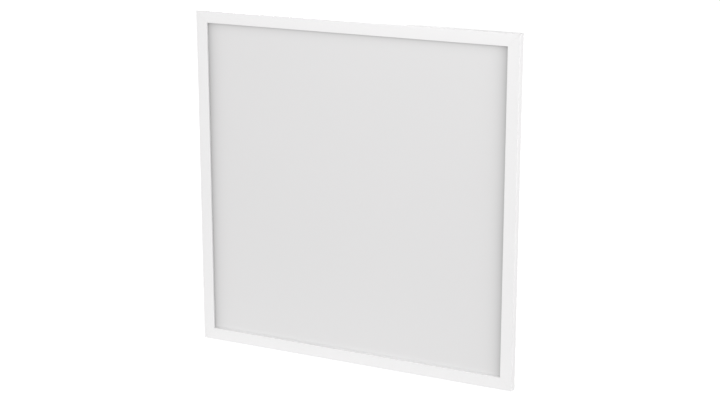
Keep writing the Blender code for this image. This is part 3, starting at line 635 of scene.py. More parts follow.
def set_up(name, mesh, body="panel", bevel=0.0, segments=2):
    """An object that replaces a CAD node: the one whose name comes before its own name's last word."""
    node = OTHER_NODES.get(name) or name.rpartition("_")[0]
    mesh.shade_smooth()
    mesh.set_sharp_from_angle(angle=SHARP)
    obj = linked(name, mesh)
    if bevel:
        modifier = obj.modifiers.new("edges", "BEVEL")
        modifier.width = bevel
        modifier.segments = segments
        modifier.limit_method = "ANGLE"
        modifier.angle_limit = SHARP
        modifier.harden_normals = True
        modifier.use_clamp_overlap = False
    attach(obj, body)
    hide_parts(node)
    return obj


# The panel's front and its frame


def frame_profile():
    """The extrusion's section as (inward, depth) points, from its outer front corner."""
    outer_front = arc((OUTER_ROUND, OUTER_ROUND), OUTER_ROUND, 180, 270, 8)
    inner_front = arc((FACE_WIDTH - INNER_ROUND, INNER_ROUND), INNER_ROUND, 270, 360, 8)
    inside = FACE_WIDTH - FRAME_WALL
    lip = [(FACE_WIDTH, LIP_DEPTH), (inside, LIP_DEPTH), (inside, FRAME_WALL)]
    ribs = []
    for near in (RIB_INNER, RIB_OUTER):
        far = near + FRAME_WALL
        ribs += [(far, FRAME_WALL), (far, RIB_TOP), (near, RIB_TOP), (near, FRAME_WALL)]
    rim = [(FRAME_WALL, FRAME_WALL), (FRAME_WALL, RIM_DEPTH), (0, RIM_DEPTH)]
    return outer_front + inner_front + lip + ribs + rim


def add_frame():
    for turn, side in enumerate(("bottom", "left", "top", "right")):
        outline = [(depth, inward - HALF) for inward, depth in frame_profile()]
        bm = prism(bmesh.new(), outline, "X", -HALF, HALF)
        for vert in bm.verts:
            inward = vert.co.z + HALF
            vert.co.x = math.copysign(HALF - inward - MITRE_GAP, vert.co.x)
        turn_about_y(bm, turn * math.pi / 2)
        piece(f"frame_{side}_section", bm, "powder_coat", bevel=0.00012)


def add_corner_keys():
    """Cast L-shaped keys with a crimping dimple in each leg."""
    near = FRAME_WALL + GAP - HALF
    far = RIB_OUTER - GAP - HALF
    end = near + 0.040
    for turn, corner in enumerate(("bottom_left", "top_left", "top_right", "bottom_right")):
        outline = [(near, near), (end, near), (end, far), (far, far), (far, end), (near, end)]
        key = prism(bmesh.new(), outline, "Y", FRAME_WALL + GAP, RIB_TOP - 2 * GAP)
        dimples = bmesh.new()
        depth = (FRAME_WALL + RIB_TOP) / 2
        rod(dimples, 0.0016, near - 0.001, near + 0.0007, (near + 0.028, depth, 0), "Z", 24)
        rod(dimples, 0.0016, near - 0.001, near + 0.0007, (0, depth, near + 0.028), "X", 24)
        key = solid(key, (CUT, dimples))
        turn_about_y(key, turn * math.pi / 2)
        piece(f"corner_key_{corner}_casting", key, "cast_zinc", bevel=0.00025)


def add_diffuser():
    low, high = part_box("diffuser_sheet")
    piece("diffuser_opal", slab(bmesh.new(), low, high), "opal_sheet", bevel=0.0002)


# The tray


def corner_radius(inset):
    """How round the tray's corners are at that distance inward."""
    for (near, small), (far, large) in zip(TRAY_CORNERS, TRAY_CORNERS[1:]):
        if inset <= far:
            return small + (large - small) * max(0.0, inset - near) / (far - near)
    return TRAY_CORNERS[-1][1]


def pressed(path, thickness):
    """A sheet formed along a path of (inset, depth), closed by a flat middle and given its thickness."""
    bm = bmesh.new()
    rings = []
    for inset, depth in path:
        loop = rounded(HALF - inset, HALF - inset, corner_radius(inset), steps=8)
        rings.append([bm.verts.new((x, depth, z)) for x, z in loop])
    skin(bm, rings)
    bm.faces.new(rings[-1])
    bmesh.ops.recalc_face_normals(bm, faces=bm.faces)
    sheet = blank(bm)
    modifier = sheet.modifiers.new("thickness", "SOLIDIFY")
    modifier.thickness = thickness
    modifier.offset = 0
    modifier.use_even_offset = True
    return baked(sheet)


def bead_path(start):
    slope, crest = BEAD_WIDTH * 0.3, FLOOR_DEPTH + BEAD_HEIGHT
    return [
        (start, FLOOR_DEPTH),
        (start + slope, crest),
        (start + BEAD_WIDTH - slope, crest),
        (start + BEAD_WIDTH, FLOOR_DEPTH),
    ]


def screw_places():
    """Each tray screw's (x, z), three to a side."""
    found = []
    for turn in range(4):
        rotation = Matrix.Rotation(turn * math.pi / 2, 2)
        along = (-SCREW_STEP, 0, SCREW_STEP)
        found += [tuple(rotation @ Vector((step, HALF - SCREW_LINE))) for step in along]
    return found


def add_tray():
    wall = [
        (0.002, FLANGE_DEPTH),
        (0.0116, FLANGE_DEPTH),
        (0.0126, LAND_DEPTH),
        (0.019, LAND_DEPTH),
        (0.046, FLOOR_DEPTH),
    ]
    path = eased([*wall, *bead_path(BEADS[0]), *bead_path(BEADS[1]), (0.24, FLOOR_DEPTH)], 0.0018)
    holes = bmesh.new()
    for x, z in screw_places():
        rod(holes, 0.0016, FLANGE_DEPTH - 0.002, FLANGE_DEPTH + 0.002, (x, 0, z))
    below, above = FLOOR_DEPTH - 0.002, FLOOR_DEPTH + 0.002
    for side in (-1, 1):
        rod(holes, 0.0019, below, above, (side * EAR_HOLE, 0, DRIVER.z))
    rod(holes, GROMMET_HOLE, below, above, (GROMMET[0], 0, GROMMET[1]), steps=48)
    tray = solid(pressed(path, SHEET), (CUT, holes))
    piece("back_tray_pressing", tray, "tray_coat")


def strip_lines():
    return [(i - (STRIPS - 1) / 2) * STRIP_PITCH for i in range(STRIPS)]


def add_reflector():
    path = eased([(0.023, FILM_RIM_DEPTH), (0.0457, FILM_DEPTH), (0.24, FILM_DEPTH)], 0.003)
    slots = bmesh.new()
    for x in strip_lines():
        boss(slots, 0.0055, 0.236, 0.002, FILM_DEPTH - 0.002, FILM_DEPTH + 0.002, (x, 0))
    film = solid(pressed(path, FILM), (CUT, slots))
    piece("reflector_film_sheet", film, "white_film")


def add_led_boards():
    """Boards with their LED packages, each a white body with a phosphor window and two solder pads."""
    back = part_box("led_board_1")[1].y
    front = back - 0.001
    for number, x in enumerate(strip_lines(), 1):
        bm = boss(bmesh.new(), 0.007, 0.240, 0.001, front, back, (x, 0), 4)
        for z in strip_lines():
            boss(bm, 0.00175, 0.0014, 0.0002, front - 0.0006, front + 0.0001, (x, z), 2, 1)
            rod(bm, 0.00115, front - 0.00063, front - 0.0005, (x, 0, z), steps=20, finish=2)
            for side in (-1, 1):
                pad = (x + side * 0.0019, z)
                boss(bm, 0.0004, 0.0011, 0.0001, front - 0.00012, front, pad, 2, 3)
        for side in (-1, 1):
            pad = (x + side * 0.003, 0.236)
            boss(bm, 0.0012, 0.0016, 0.0003, front - 0.00008, front, pad, 3, 3)
        piece(f"led_board_{number}_soldered", bm, "board_white led_body phosphor tin")


def add_lens_strips():
    """Clear lenses with a dimpled dome and a pocket over each LED, on one carrier."""
    low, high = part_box("lens_strip_1")
    carrier_back, carrier_front = high.y, 0.0296
    rim, base, front = 0.02835, 0.02995, low.y
    radius = 0.0085
    quarter = [0.12 * i for i in range(12)]
    profile = [(0, base), (radius - 0.0003, base), (radius, base - 0.0003)]
    profile += [(radius * math.cos(a), rim - (rim - front) * math.sin(a)) for a in quarter]
    profile += [(0.0006, front + 0.0009), (0, front + 0.001)]
    tip = carrier_back - 0.003
    well = [(0, carrier_back + 0.001), (0.0032, carrier_back + 0.001), (0.0031, tip + 0.0014)]
    well += [(0.0024, tip + 0.0005), (0.0012, tip + 0.0001), (0, tip)]
    for number, x in enumerate(strip_lines(), 1):
        carrier = boss(bmesh.new(), 0.005, 0.235, 0.003, carrier_front, carrier_back, (x, 0))
        domes, pockets = bmesh.new(), bmesh.new()
        for z in strip_lines():
            turned(domes, profile, 40, (x, 0, z))
            turned(pockets, well, 24, (x, 0, z))
        strip = solid(carrier, (JOIN, domes), (CUT, pockets))
        piece(f"lens_strip_{number}_moulding", strip, "lens_acrylic", bevel=0.00008, segments=1)


def tube(bm, route, radius, sides=12, finish=0):
    """A round tube along a route of points, with flat ends."""
    points = [Vector(point) for point in route]
    rings = []
    reference = (points[1] - points[0]).orthogonal()
    for i, point in enumerate(points):
        ahead = points[min(i + 1, len(points) - 1)] - points[max(i - 1, 0)]
        ahead.normalize()
        across = (reference - ahead * reference.dot(ahead)).normalized()
        reference = across
        up = ahead.cross(across)
        ring = []
        for k in range(sides):
            a = 2 * math.pi * k / sides
            ring.append(bm.verts.new(point + radius * (math.cos(a) * across + math.sin(a) * up)))
        rings.append(ring)
    for ring in (rings[0], rings[-1]):
        bm.faces.new(ring).material_index = finish
    skin(bm, rings, finish)
    return bm


def add_loom():
    """Two insulated wires side by side over the boards, with a pair of tails to each and to the grommet."""
    low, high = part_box("strip_loom")
    depth = (low.y + high.y) / 2
    radius = 0.00042
    bm = bmesh.new()
    board_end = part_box("led_board_1")[1].z + GAP
    for side, finish in ((1, 0), (-1, 1)):
        level = high.z - 0.001 + side * 0.0005
        ends = (low.x + 0.0006, high.x - 0.0006)
        tube(bm, [(ends[0], depth, level), (ends[1], depth, level)], radius, 10, finish)
        tails = [(x, board_end) for x in strip_lines()] + [(GROMMET[0], GROMMET[1] + 0.0076)]
        for x, end in tails:
            at = x + side * 0.0005
            tube(bm, [(at, depth, end), (at, depth, level - side * 0.0002 - 0.0004)], radius, 10, finish)
    piece("strip_loom_wires", bm, "core_red core_black")


# Fasteners

HEAD_HEIGHT = 0.0018


def thread(bm, radius, root, low, high, pitch):
    """A helical ridge round a shank along Y."""
    steps = 14
    count = int((high - low) / pitch * steps)
    sections = []
    for i in range(count + 1):
        a = 2 * math.pi * i / steps
        level = low + pitch * i / steps
        taper = min(1.0, i / steps, (count - i) / steps)
        crest = root + (radius - root) * taper
        outline = ((root - 0.00005, -0.3 * pitch), (crest, 0.0), (root - 0.00005, 0.3 * pitch))
        sections.append([bm.verts.new((r * math.cos(a), level + h, r * math.sin(a))) for r, h in outline])
    skin(bm, sections)
    bm.faces.new(sections[0])
    bm.faces.new(sections[-1])


def screw_mesh(name, length, shank):
    """A pan-head screw along +Y with a cross recess. The origin is under its head."""
    head, height = 0.0028, HEAD_HEIGHT
    angles = (0.0, 0.3, 0.6, 0.9, 1.2)
    dome = [(head * math.cos(a) ** 0.6, 0.0007 + (height - 0.0007) * math.sin(a)) for a in angles]
    profile = [(0, -length), (shank * 0.35, -length + 0.0003), (shank * 0.85, -length + 0.0015)]
    profile += [(shank * 0.85, -0.0002), (shank, 0), (head - 0.0002, 0), (head, 0.0002), *dome, (0, height)]
    body = turned(bmesh.new(), profile, 40)
    slot, reach, tip = 0.00035, 0.0014, 0.0005
    wings = [(reach, height + 0.001), (-reach, height + 0.001), (-tip, 0.0004), (tip, 0.0004)]
    across = prism(bmesh.new(), wings, "Z", -slot, slot)
    along = prism(bmesh.new(), [(level, side) for side, level in wings], "X", -slot, slot)
    made = solid(body, (CUT, across), (CUT, along))
    thread(made, shank * 1.15, shank * 0.85, -length + 0.0012, -0.0008, 0.0011)
    return finished(name, made, "zinc_plate")


def add_screws():
    """Each screw sits where its CAD node's head is."""
    kinds = {
        "tray_screw": screw_mesh("tray_screw_turned", 0.009, 0.0012),
        "driver_screw": screw_mesh("driver_screw_turned", 0.005, 0.0015),
        "clamp_screw": screw_mesh("clamp_screw_turned", 0.008, 0.0012),
    }
    for node in sorted(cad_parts):
        for kind, mesh in kinds.items():
            if node.startswith(kind):
                low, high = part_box(node)
                obj = set_up(f"{node}_turned", mesh, bevel=0.00004, segments=1)
                under_head = ((low.x + high.x) / 2, high.y - HEAD_HEIGHT, (low.z + high.z) / 2)
                obj.matrix_world = Matrix.Translation(under_head)


def add_brackets():
    """Zinc-plated angles with a proper bend, round corners and an eye for a hanging wire."""
    sheet, bend = 0.0012, 0.0014
    for edge, turn in (("bottom", 0), ("top", math.pi)):
        for side, x in (("left", -SCREW_STEP), ("right", SCREW_STEP)):
            node = f"suspension_bracket_{edge}_{side}"
            low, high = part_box(node)
            half = (high.x - low.x) / 2
            front, top = low.y, high.y
            near, far = -HALF + 0.0026, -HALF + 0.0118
            outer = arc((front + bend, far - bend), bend, 90, 180, 8)
            inner = arc((front + bend, far - bend), bend - sheet, 180, 90, 8)
            section = [(top, far), *outer, (front, near), (front + sheet, near), *inner]
            section += [(top, far - sheet)]
            angle = prism(bmesh.new(), section, "X", -half, half)
            outline = [(-half, front - 0.001), (half, front - 0.001)]
            outline += arc((half - 0.006, top - 0.006), 0.006, 0, 90, 8)
            outline += arc((0.006 - half, top - 0.006), 0.006, 90, 180, 8)
            window = prism(bmesh.new(), outline, "Z", near - 0.001, far + 0.001)
            outline = rounded(0.004, 0.0027, 0.0012, (0, 0.0237))
            eye = prism(bmesh.new(), outline, "Z", far - 0.004, far + 0.002)
            hole = rod(bmesh.new(), 0.0016, front - 0.001, front + 0.003, (0, 0, SCREW_LINE - HALF))
            made = solid(angle, (KEEP, window), (CUT, eye), (CUT, hole))
            turn_about_y(made, turn)
            piece(f"{node}_stamping", made, "zinc_plate", at=(x, 0, 0), bevel=0.00012)


def add_grommet():
    """A rubber bush with a lip each side of the sheet and a tapered collar."""
    low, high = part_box("tray_grommet")
    bore, neck, lip = 0.0026, GROMMET_HOLE - GAP, (high.x - low.x) / 2
    back, front = TRAY_BACK, TRAY_BACK - SHEET
    profile = [(bore, low.y + 0.0001), *arc((lip - 0.0003, low.y + 0.0003), 0.0003, 270, 360, 3)]
    profile += arc((lip - 0.0003, front - GAP - 0.0003), 0.0003, 0, 90, 3)
    profile += [(neck, front - GAP), (neck, back + GAP)]
    profile += arc((lip - 0.0004, back + GAP + 0.0004), 0.0004, 270, 360, 3)
    profile += arc((lip - 0.0009, back + GAP + 0.0011), 0.0009, 0, 80, 4)
    profile += [(bore + 0.0022, back + 0.0026), (bore + 0.0014, back + 0.0054)]
    profile += arc((bore + 0.0007, high.y - 0.0007), 0.0007, 0, 180, 6)
    bm = turned(bmesh.new(), profile, 48, (GROMMET[0], 0, GROMMET[1]), closed=True)
    piece("tray_grommet_moulding", bm, "rubber")


# The driver. These lengths are from the middle of its mounting face: X along it, Y off the tray, Z across.

CASE_LENGTH = 0.088
CASE_WIDTH = 0.026
CASE_WALL = 0.002
CASE_TOP = 0.024
PARTITION = 0.050
EAR_HOLE = CASE_LENGTH + 0.0055
LID_LENGTH = 0.049
LID_FRONT = CASE_TOP + GAP
LID_THICK = 0.002
HINGE_X = 0.0525
HINGE_Y = LID_FRONT + LID_THICK / 2
HINGE_HOLE = 0.00125
BOARD_LEVEL = 0.005
PARTS_LEVEL = 0.0069
TERMINAL_X = (0.0535, 0.066)
TERMINAL_TOP = 0.019
POLE = 0.0045
BUTTON_X = 0.0585
BUTTON_FOOT = 0.0156
CLAMP_X = -0.076
CLAMP_POST = 0.010
POST_HOLE = 0.0016
CLAMP_LEVEL = 0.0125
SLOT_WIDTHS = {-1: 0.009, 1: 0.0054}
SLOT_LEVELS = {-1: 0.0095, 1: 0.0092}
LEAD_RADIUS = 0.0023
LEAD_ROUTE = (
    (0.073, 0.0092, 0.0),
    (0.088, 0.0092, 0.0),
    (0.103, 0.0098, 0.0004),
    (0.124, 0.0132, 0.0022),
    (0.142, 0.0166, 0.0064),
    (0.156, 0.0175, 0.01),
    (0.1624, 0.0149, 0.0117),
    (0.165, 0.0085, 0.012),
    (0.165, 0.006, 0.012),
    (0.165, 0.0, 0.012),
    (0.165, -0.002, 0.012),
)


def span(side, near, far):
    """Two distances from the middle as (low, high) on one side of it."""
    return sorted((side * near, side * far))


def add_driver_base():
    """An open box with partitions, ribbed sides, ears on gussets, hinge knuckles, posts and board rests."""
    inner, top = CASE_WIDTH - CASE_WALL, CASE_TOP + 0.002
    end = CASE_LENGTH - CASE_WALL
    case = boss(bmesh.new(), CASE_LENGTH, CASE_WIDTH, 0.0022, 0, CASE_TOP)
    hollow = boss(bmesh.new(), PARTITION, inner, 0.001, CASE_WALL, top)
    ears, gussets, cuts, holes = (bmesh.new() for _ in range(4))
    for i in range(-10, 11):
        for across in (-1, 1):
            groove = rounded(0.0009, 0.0075, 0.0008, (i * 0.004, 0.0115), 3)
            prism(cuts, groove, "Z", *span(across, CASE_WIDTH - 0.0005, CASE_WIDTH + PAST))
    for side in (-1, 1):
        half = (end - PARTITION - CASE_WALL) / 2
        boss(hollow, half, inner, 0.001, CASE_WALL, top, (side * (end - half), 0))
        low, high = span(side, CASE_LENGTH - 0.001, CASE_LENGTH + 0.011)
        boss(ears, 0.006, 0.009, 0.0025, 0, 0.003, ((low + high) / 2, 0))
        slot = arc((SLOT_LEVELS[side], 0), SLOT_WIDTHS[side] / 2, 90, 270, 16)
        slot += [(top, -SLOT_WIDTHS[side] / 2), (top, SLOT_WIDTHS[side] / 2)]
        prism(cuts, slot, "X", *span(side, end - PAST, CASE_LENGTH + PAST))
        low, high = span(side, PARTITION - PAST, PARTITION + CASE_WALL + PAST)
        slab(cuts, (low, BOARD_LEVEL - 0.0005, -0.021), (high, PARTS_LEVEL + 0.0002, 0.021))
        slab(cuts, (low, CASE_TOP - 0.001, -inner), (high, top, inner))
        rod(cuts, 0.002, -PAST, 0.003 + PAST, (side * EAR_HOLE, 0, 0))
        post = (CLAMP_X, 0, side * CLAMP_POST)
        rod(cuts, POST_HOLE, CLAMP_LEVEL - 0.008, CLAMP_LEVEL + PAST, post, steps=20)
        rod(ears, 0.0032, CASE_WALL - 0.001, CLAMP_LEVEL, post)
        hinge = (side * HINGE_X, HINGE_Y, 0)
        rod(holes, HINGE_HOLE, -CASE_WIDTH - PAST, CASE_WIDTH + PAST, hinge, "Z", 24)
        for across in (-1, 1):
            knuckle = arc((side * HINGE_X, HINGE_Y), 0.0022, 0, 180, 16)
            knuckle += [(side * HINGE_X + reach, CASE_TOP - 0.001) for reach in (-0.003, 0.003)]
            prism(ears, knuckle, "Z", *span(across, inner, CASE_WIDTH))
            rest = (side * 0.060, across * 0.015)
            boss(ears, 0.0025, 0.0025, 0.0006, 0.001, BOARD_LEVEL - GAP, rest, 3)
            root, tip = side * (CASE_LENGTH - 0.0008), side * (CASE_LENGTH + 0.0065)
            web = across * 0.0066
            prism(gussets, [(root, 0.002), (tip, 0.002), (root, 0.0095)], "Z", web - 0.0006, web + 0.0006)
    made = solid(case, (CUT, hollow), (JOIN, ears), (JOIN, gussets), (CUT, cuts), (CUT, holes))
    in_driver("driver_base_moulding", made, "case_plastic", bevel=0.0002)


def add_driver_lid():
    """A cover with a rim that drops into the case, a blank sunken field and a moulded line round it."""
    back = LID_FRONT + LID_THICK
    across = CASE_WIDTH - CASE_WALL - GAP
    lid = boss(bmesh.new(), LID_LENGTH, CASE_WIDTH, 0.0012, LID_FRONT, back)
    outside, inside = (PARTITION - 0.001, across), (PARTITION - 0.0025, across - 0.0015)
    rim = boss(bmesh.new(), *outside, 0.0008, LID_FRONT - 0.003, LID_FRONT + 0.001)
    hollow = boss(bmesh.new(), *inside, 0.0008, LID_FRONT - 0.004, LID_FRONT)
    field = boss(bmesh.new(), 0.041, 0.0185, 0.002, back - 0.0003, back + PAST)
    for side in (-1, 1):
        boss(field, 0.0003, 0.020, 0.0002, back - 0.0004, back + PAST, (side * 0.0445, 0), 3)
    made = solid(lid, (JOIN, rim), (CUT, hollow), (CUT, field))
    in_driver("driver_lid_moulding", made, "case_plastic", bevel=0.00025)


def add_flap(body, side, tongue_end):
    """A hinged cover with a barrel, pins, grip and stiffening ribs, and a tongue that closes the slot."""
    half, neck, width, tab = LID_THICK / 2, 0.0236, CASE_WIDTH, 0.008
    edge = [(HINGE_X, neck), (HINGE_X + 0.0038, neck), (HINGE_X + 0.0038, width), (CASE_LENGTH, width)]
    edge += [(CASE_LENGTH, tab), (CASE_LENGTH + 0.0025, tab)]
    outline = [(side * x, z) for x, z in edge] + [(side * x, -z) for x, z in reversed(edge)]
    plate = prism(bmesh.new(), eased(outline, 0.0012), "Y", HINGE_Y - half, HINGE_Y + half)
    barrel = rod(bmesh.new(), 0.0016, -neck, neck, (side * HINGE_X, HINGE_Y, 0), "Z")
    pins = rod(bmesh.new(), 0.001, GAP - width, width - GAP, (side * HINGE_X, HINGE_Y, 0), "Z", 24)
    low, high = span(side, CASE_LENGTH - CASE_WALL, CASE_LENGTH)
    tongue = SLOT_WIDTHS[side] / 2 - 0.0004
    slab(pins, (low, tongue_end, -tongue), (high, HINGE_Y, tongue))
    ribs = bmesh.new()
    for i in range(4):
        middle = side * (CASE_LENGTH - 0.0002 - i * 0.0018)
        boss(ribs, 0.0004, 0.007, 0.00039, HINGE_Y, HINGE_Y + half + 0.0004, (middle, 0), 3)
    for across in (-0.0225, 0.0225):
        low, high = span(side, 0.058, 0.085)
        slab(ribs, (low, LID_FRONT - 0.0016, across - 0.0005), (high, HINGE_Y, across + 0.0005))
    made = solid(plate, (JOIN, barrel), (JOIN, pins), (JOIN, ribs))
    in_driver(f"{body}_moulding", made, "case_plastic", body, bevel=0.00025)


def add_terminal(node, side):
    """A two-pole push-in block with wire funnels, button wells, a fin between the poles and brass springs."""
    low, high = span(side, *TERMINAL_X)
    block = slab(bmesh.new(), (low, PARTS_LEVEL, -0.010), (high, TERMINAL_TOP, 0.010))
    cuts, fin, wells = bmesh.new(), bmesh.new(), bmesh.new()
    mouth = side * TERMINAL_X[1]
    depths = ((-0.009, 0.0014), (-0.0085, 0.0018), (-0.0012, 0.0018), (0.0, 0.0022), (0.001, 0.0022))
    funnel = [(0, side * depths[0][0]), *((r, side * h) for h, r in depths), (0, side * depths[-1][0])]
    for z in (-POLE, POLE):
        turned(cuts, funnel, 28, (mouth, 0.0115, z), "X")
        well = (side * BUTTON_X, z)
        boss(wells, 0.0023, 0.0021, 0.0005, BUTTON_FOOT - 0.002, TERMINAL_TOP + 0.002, well, 3)
        probe = side * 0.0635
        slab(wells, (probe - 0.0009, 0.0165, z - 0.0005), (probe + 0.0009, 0.021, z + 0.0005))
    for z in (-0.0098, 0.0, 0.0098):
        slab(fin, (low + 0.0008, 0.009, z - 0.0004), (high - 0.0008, TERMINAL_TOP + 0.0006, z + 0.0004))
    made = solid(block, (JOIN, fin), (CUT, cuts), (CUT, wells))
    for z in (-POLE, POLE):
        rod(made, 0.0013, *span(side, -0.0088, -0.0084), (mouth, 0.0115, z), "X", 20, finish=1)
    in_driver(f"{node}_moulding", made, "terminal_plastic brass", bevel=0.00015)


def add_buttons():
    """Release buttons with a screwdriver slot, each on its own body."""
    places = {"mains_button_line": (-1, 1), "mains_button_neutral": (-1, -1)}
    places |= {"output_button_plus": (1, 1), "output_button_minus": (1, -1)}
    for body, (side, pole) in places.items():
        button = boss(bmesh.new(), 0.002, 0.0018, 0.0003, 0, 0.0052, steps=3)
        slot = slab(bmesh.new(), (-0.0013, 0.0044, -0.0004), (0.0013, 0.006, 0.0004))
        at = (side * BUTTON_X, BUTTON_FOOT, pole * POLE)
        made = solid(button, (CUT, slot))
        in_driver(f"{body}_moulding", made, "button_plastic", body, at, 0.0002)


def add_clamp():
    """A bar with a toothed groove for the mains cable."""
    low = CLAMP_LEVEL + GAP
    bar = boss(bmesh.new(), 0.004, 0.014, 0.0018, low, low + 0.003, (CLAMP_X, 0))
    groove, teeth = bmesh.new(), bmesh.new()
    rod(groove, 0.006, CLAMP_X - 0.005, CLAMP_X + 0.005, (0, low - 0.0048, 0), "X", 48)
    for across in (-CLAMP_POST, CLAMP_POST):
        rod(groove, POST_HOLE, low - PAST, low + 0.003 + PAST, (CLAMP_X, 0, across))
    for i in (-1, 0, 1):
        middle = CLAMP_X + i * 0.0024
        rod(teeth, 0.006, middle - 0.0008, middle + 0.0008, (0, low - 0.0043, 0), "X", 48)
    made = solid(bar, (CUT, groove), (CUT, teeth))
    in_driver("mains_cable_clamp_moulding", made, "case_plastic", bevel=0.0002)


BLOCKS = (  # the board's box-shaped parts: middle X and Z, half sizes, height, and which finish
    (-0.04, -0.012, 0.0065, 0.0028, 0.011, 3),
    (-0.044, 0.006, 0.0022, 0.0055, 0.006, 2),
    (-0.008, -0.016, 0.0024, 0.002, 0.0016, 2),
    (0.006, -0.0155, 0.0024, 0.002, 0.0016, 2),
    (0.033, 0.014, 0.005, 0.0018, 0.007, 3),
    (0.044, 0.002, 0.002, 0.004, 0.002, 2),
)
CANS = (  # its upright round parts: middle X and Z, radius, height, and which finish
    (-0.022, -0.012, 0.0042, 0.0085, 2),
    (0.0335, -0.008, 0.004, 0.0125, 4),
    (0.0435, -0.012, 0.0026, 0.008, 4),
    (0.0, 0.0155, 0.002, 0.005, 5),
)


def add_board():
    """The driver's board with its smaller parts, chip resistors in rows, and solder joints underneath."""
    bm = boss(bmesh.new(), 0.068, 0.020, 0.001, BOARD_LEVEL, BOARD_LEVEL + 0.0016, steps=3)
    top = BOARD_LEVEL + 0.0016
    for x, z, half_x, half_z, height, finish in BLOCKS:
        boss(bm, half_x, half_z, 0.0004, top, top + height, (x, z), 3, finish)
    for x, z, radius, height, finish in CANS:
        profile = [(0, top), (radius, top), (radius, top + height - 0.0006), (radius - 0.0006, top + height)]
        turned(bm, [*profile, (0, top + height)], 28, (x, 0, z), finish=finish)
        rod(bm, radius * 0.7, top + height, top + height + 0.0002, (x, 0, z), steps=28, finish=1)
    for row, z in enumerate((-0.018, 0.018)):
        for i in range(12):
            x = -0.044 + 0.008 * i
            boss(bm, 0.0005, 0.0006, 0.0001, top, top + 0.0005, (x, z), 2, 2 - row)
            for side in (-1, 1):
                boss(bm, 0.0002, 0.0006, 0.0001, top, top + 0.0005, (x + side * 0.0008, z), 2, 1)
    joint = [(0, 0), (0.0011, 0), (0.0004, -0.0008), (0, -0.0011)]
    joint = [(radius, BOARD_LEVEL + level) for radius, level in joint]
    for x in (-0.062, -0.056, -0.040, -0.030, -0.018, 0.004, 0.012, 0.020, 0.034, 0.056, 0.062):
        for z in (-0.0045, 0.0045):
            turned(bm, joint, 14, (x, 0, z), finish=1)
    finishes = "board_green tin bobbin_plastic film_capacitor can_sleeve brass"
    in_driver("driver_board_soldered", bm, finishes)


def add_transformer():
    """A ferrite core round a taped winding, on a bobbin with pins."""
    x, foot = 0.012, PARTS_LEVEL
    bm = prism(bmesh.new(), rounded(0.013, 0.00625, 0.0008, (x, foot + 0.00825), 4), "Z", -0.006, 0.006)
    for across in (-1, 1):
        winding = rounded(0.0085, 0.0052, 0.003, (x, foot + 0.0072))
        prism(bm, winding, "Z", *span(across, 0.0062, 0.009), 1)
        cheek = rounded(0.009, 0.0062, 0.0008, (x, foot + 0.0065), 3)
        prism(bm, cheek, "Z", *span(across, 0.0091, 0.01), 2)
        for i in range(5):
            pin = (x + (i - 2) * 0.0035, across * 0.0095)
            boss(bm, 0.0003, 0.0003, 0.00025, foot, foot + 0.0002, pin, 2, 3)
    finishes = "ferrite winding_tape bobbin_plastic tin"
    in_driver("driver_transformer_wound", bm, finishes, bevel=0.0002)


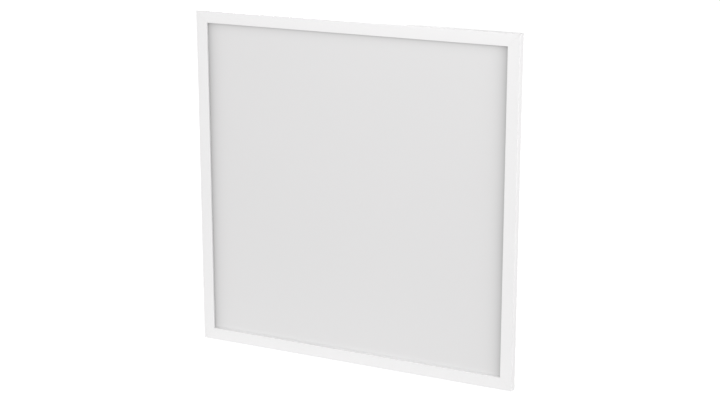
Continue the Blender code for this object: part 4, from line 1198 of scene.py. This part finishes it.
def add_capacitor():
    """An aluminium can in a sleeve, with a crimped neck, a vented end and a rubber plug."""
    radius, half = 0.0065, 0.011
    neck = [(radius, half - 0.0034), (radius - 0.0005, half - 0.0028), (radius - 0.0005, half - 0.0024)]
    neck += [(radius, half - 0.0018)]
    profile = [(radius - 0.0012, 0.0003 - half), *arc((radius - 0.0008, 0.0008 - half), 0.0008, 270, 360, 5)]
    profile += neck + arc((radius - 0.0006, half - 0.0006), 0.0006, 0, 90, 4)
    profile += [(radius - 0.0014, half - 0.0003)]
    middle = (-0.026, PARTS_LEVEL + radius, 0.006)
    sleeve = turned(bmesh.new(), [(0, 0.0003 - half), *profile, (0, half - 0.0003)], 48, middle, "X")
    rod(sleeve, radius - 0.0014, -half, 0.0002 - half, middle, "X", 40, finish=1)
    end = Vector(middle) - Vector((half, 0, 0))
    for turn in range(3):
        before = set(sleeve.verts)
        slab(sleeve, end + Vector((-0.0001, -0.0001, 0.0002)), end + Vector((0.0001, 0.0001, 0.0042)))
        vent = [vert for vert in sleeve.verts if vert not in before]
        rotation = Matrix.Rotation(turn * 2 * math.pi / 3, 3, "X")
        bmesh.ops.rotate(sleeve, verts=vent, cent=middle, matrix=rotation)
    rod(sleeve, radius - 0.0014, half - 0.0002, half, middle, "X", 40, finish=2)
    in_driver("driver_capacitor_sleeved", sleeve, "can_sleeve tin rubber")


def smooth_route(points, steps):
    """Points on a Catmull-Rom curve through the route's own points."""
    knots = [Vector(point) for point in points]
    padded = [2 * knots[0] - knots[1], *knots, 2 * knots[-1] - knots[-2]]
    route = []
    for a, b, c, d in zip(padded, padded[1:], padded[2:], padded[3:]):
        for i in range(steps):
            t = i / steps
            slope = (c - a) * t
            bend = (2 * a - 5 * b + 4 * c - d) * t**2
            twist = (3 * b - a - 3 * c + d) * t**3
            route.append((2 * b + slope + bend + twist) / 2)
    return [*route, knots[-1]]


def add_lead():
    """The sheathed lead, with its two cores running on to the output block's wire holes."""
    bm = tube(bmesh.new(), smooth_route(LEAD_ROUTE, 8), LEAD_RADIUS, 24)
    for side, finish in ((1, 1), (-1, 2)):
        ends = [(0.0605, 0.0115, side * POLE), (0.0672, 0.0115, side * POLE)]
        ends += [(0.0712, 0.0094, side * 0.0014), (0.074, 0.0092, side * 0.001)]
        tube(bm, smooth_route(ends, 6), 0.0009, 12, finish)
    in_driver("dc_lead_sheathed", bm, "lead_sheath core_red core_black")


add_camera()
add_floor()
add_world()
add_lights()
add_materials()
add_frame()
add_corner_keys()
add_diffuser()
add_tray()
add_reflector()
add_led_boards()
add_lens_strips()
add_loom()
add_screws()
add_brackets()
add_grommet()
add_driver_base()
add_driver_lid()
add_flap("mains_flap", -1, 0.0153)
add_flap("output_flap", 1, 0.0122)
add_terminal("mains_terminal", -1)
add_terminal("output_terminal", 1)
add_buttons()
add_clamp()
add_board()
add_transformer()
add_capacitor()
add_lead()

bpy.context.scene.view_settings.view_transform = "Standard"
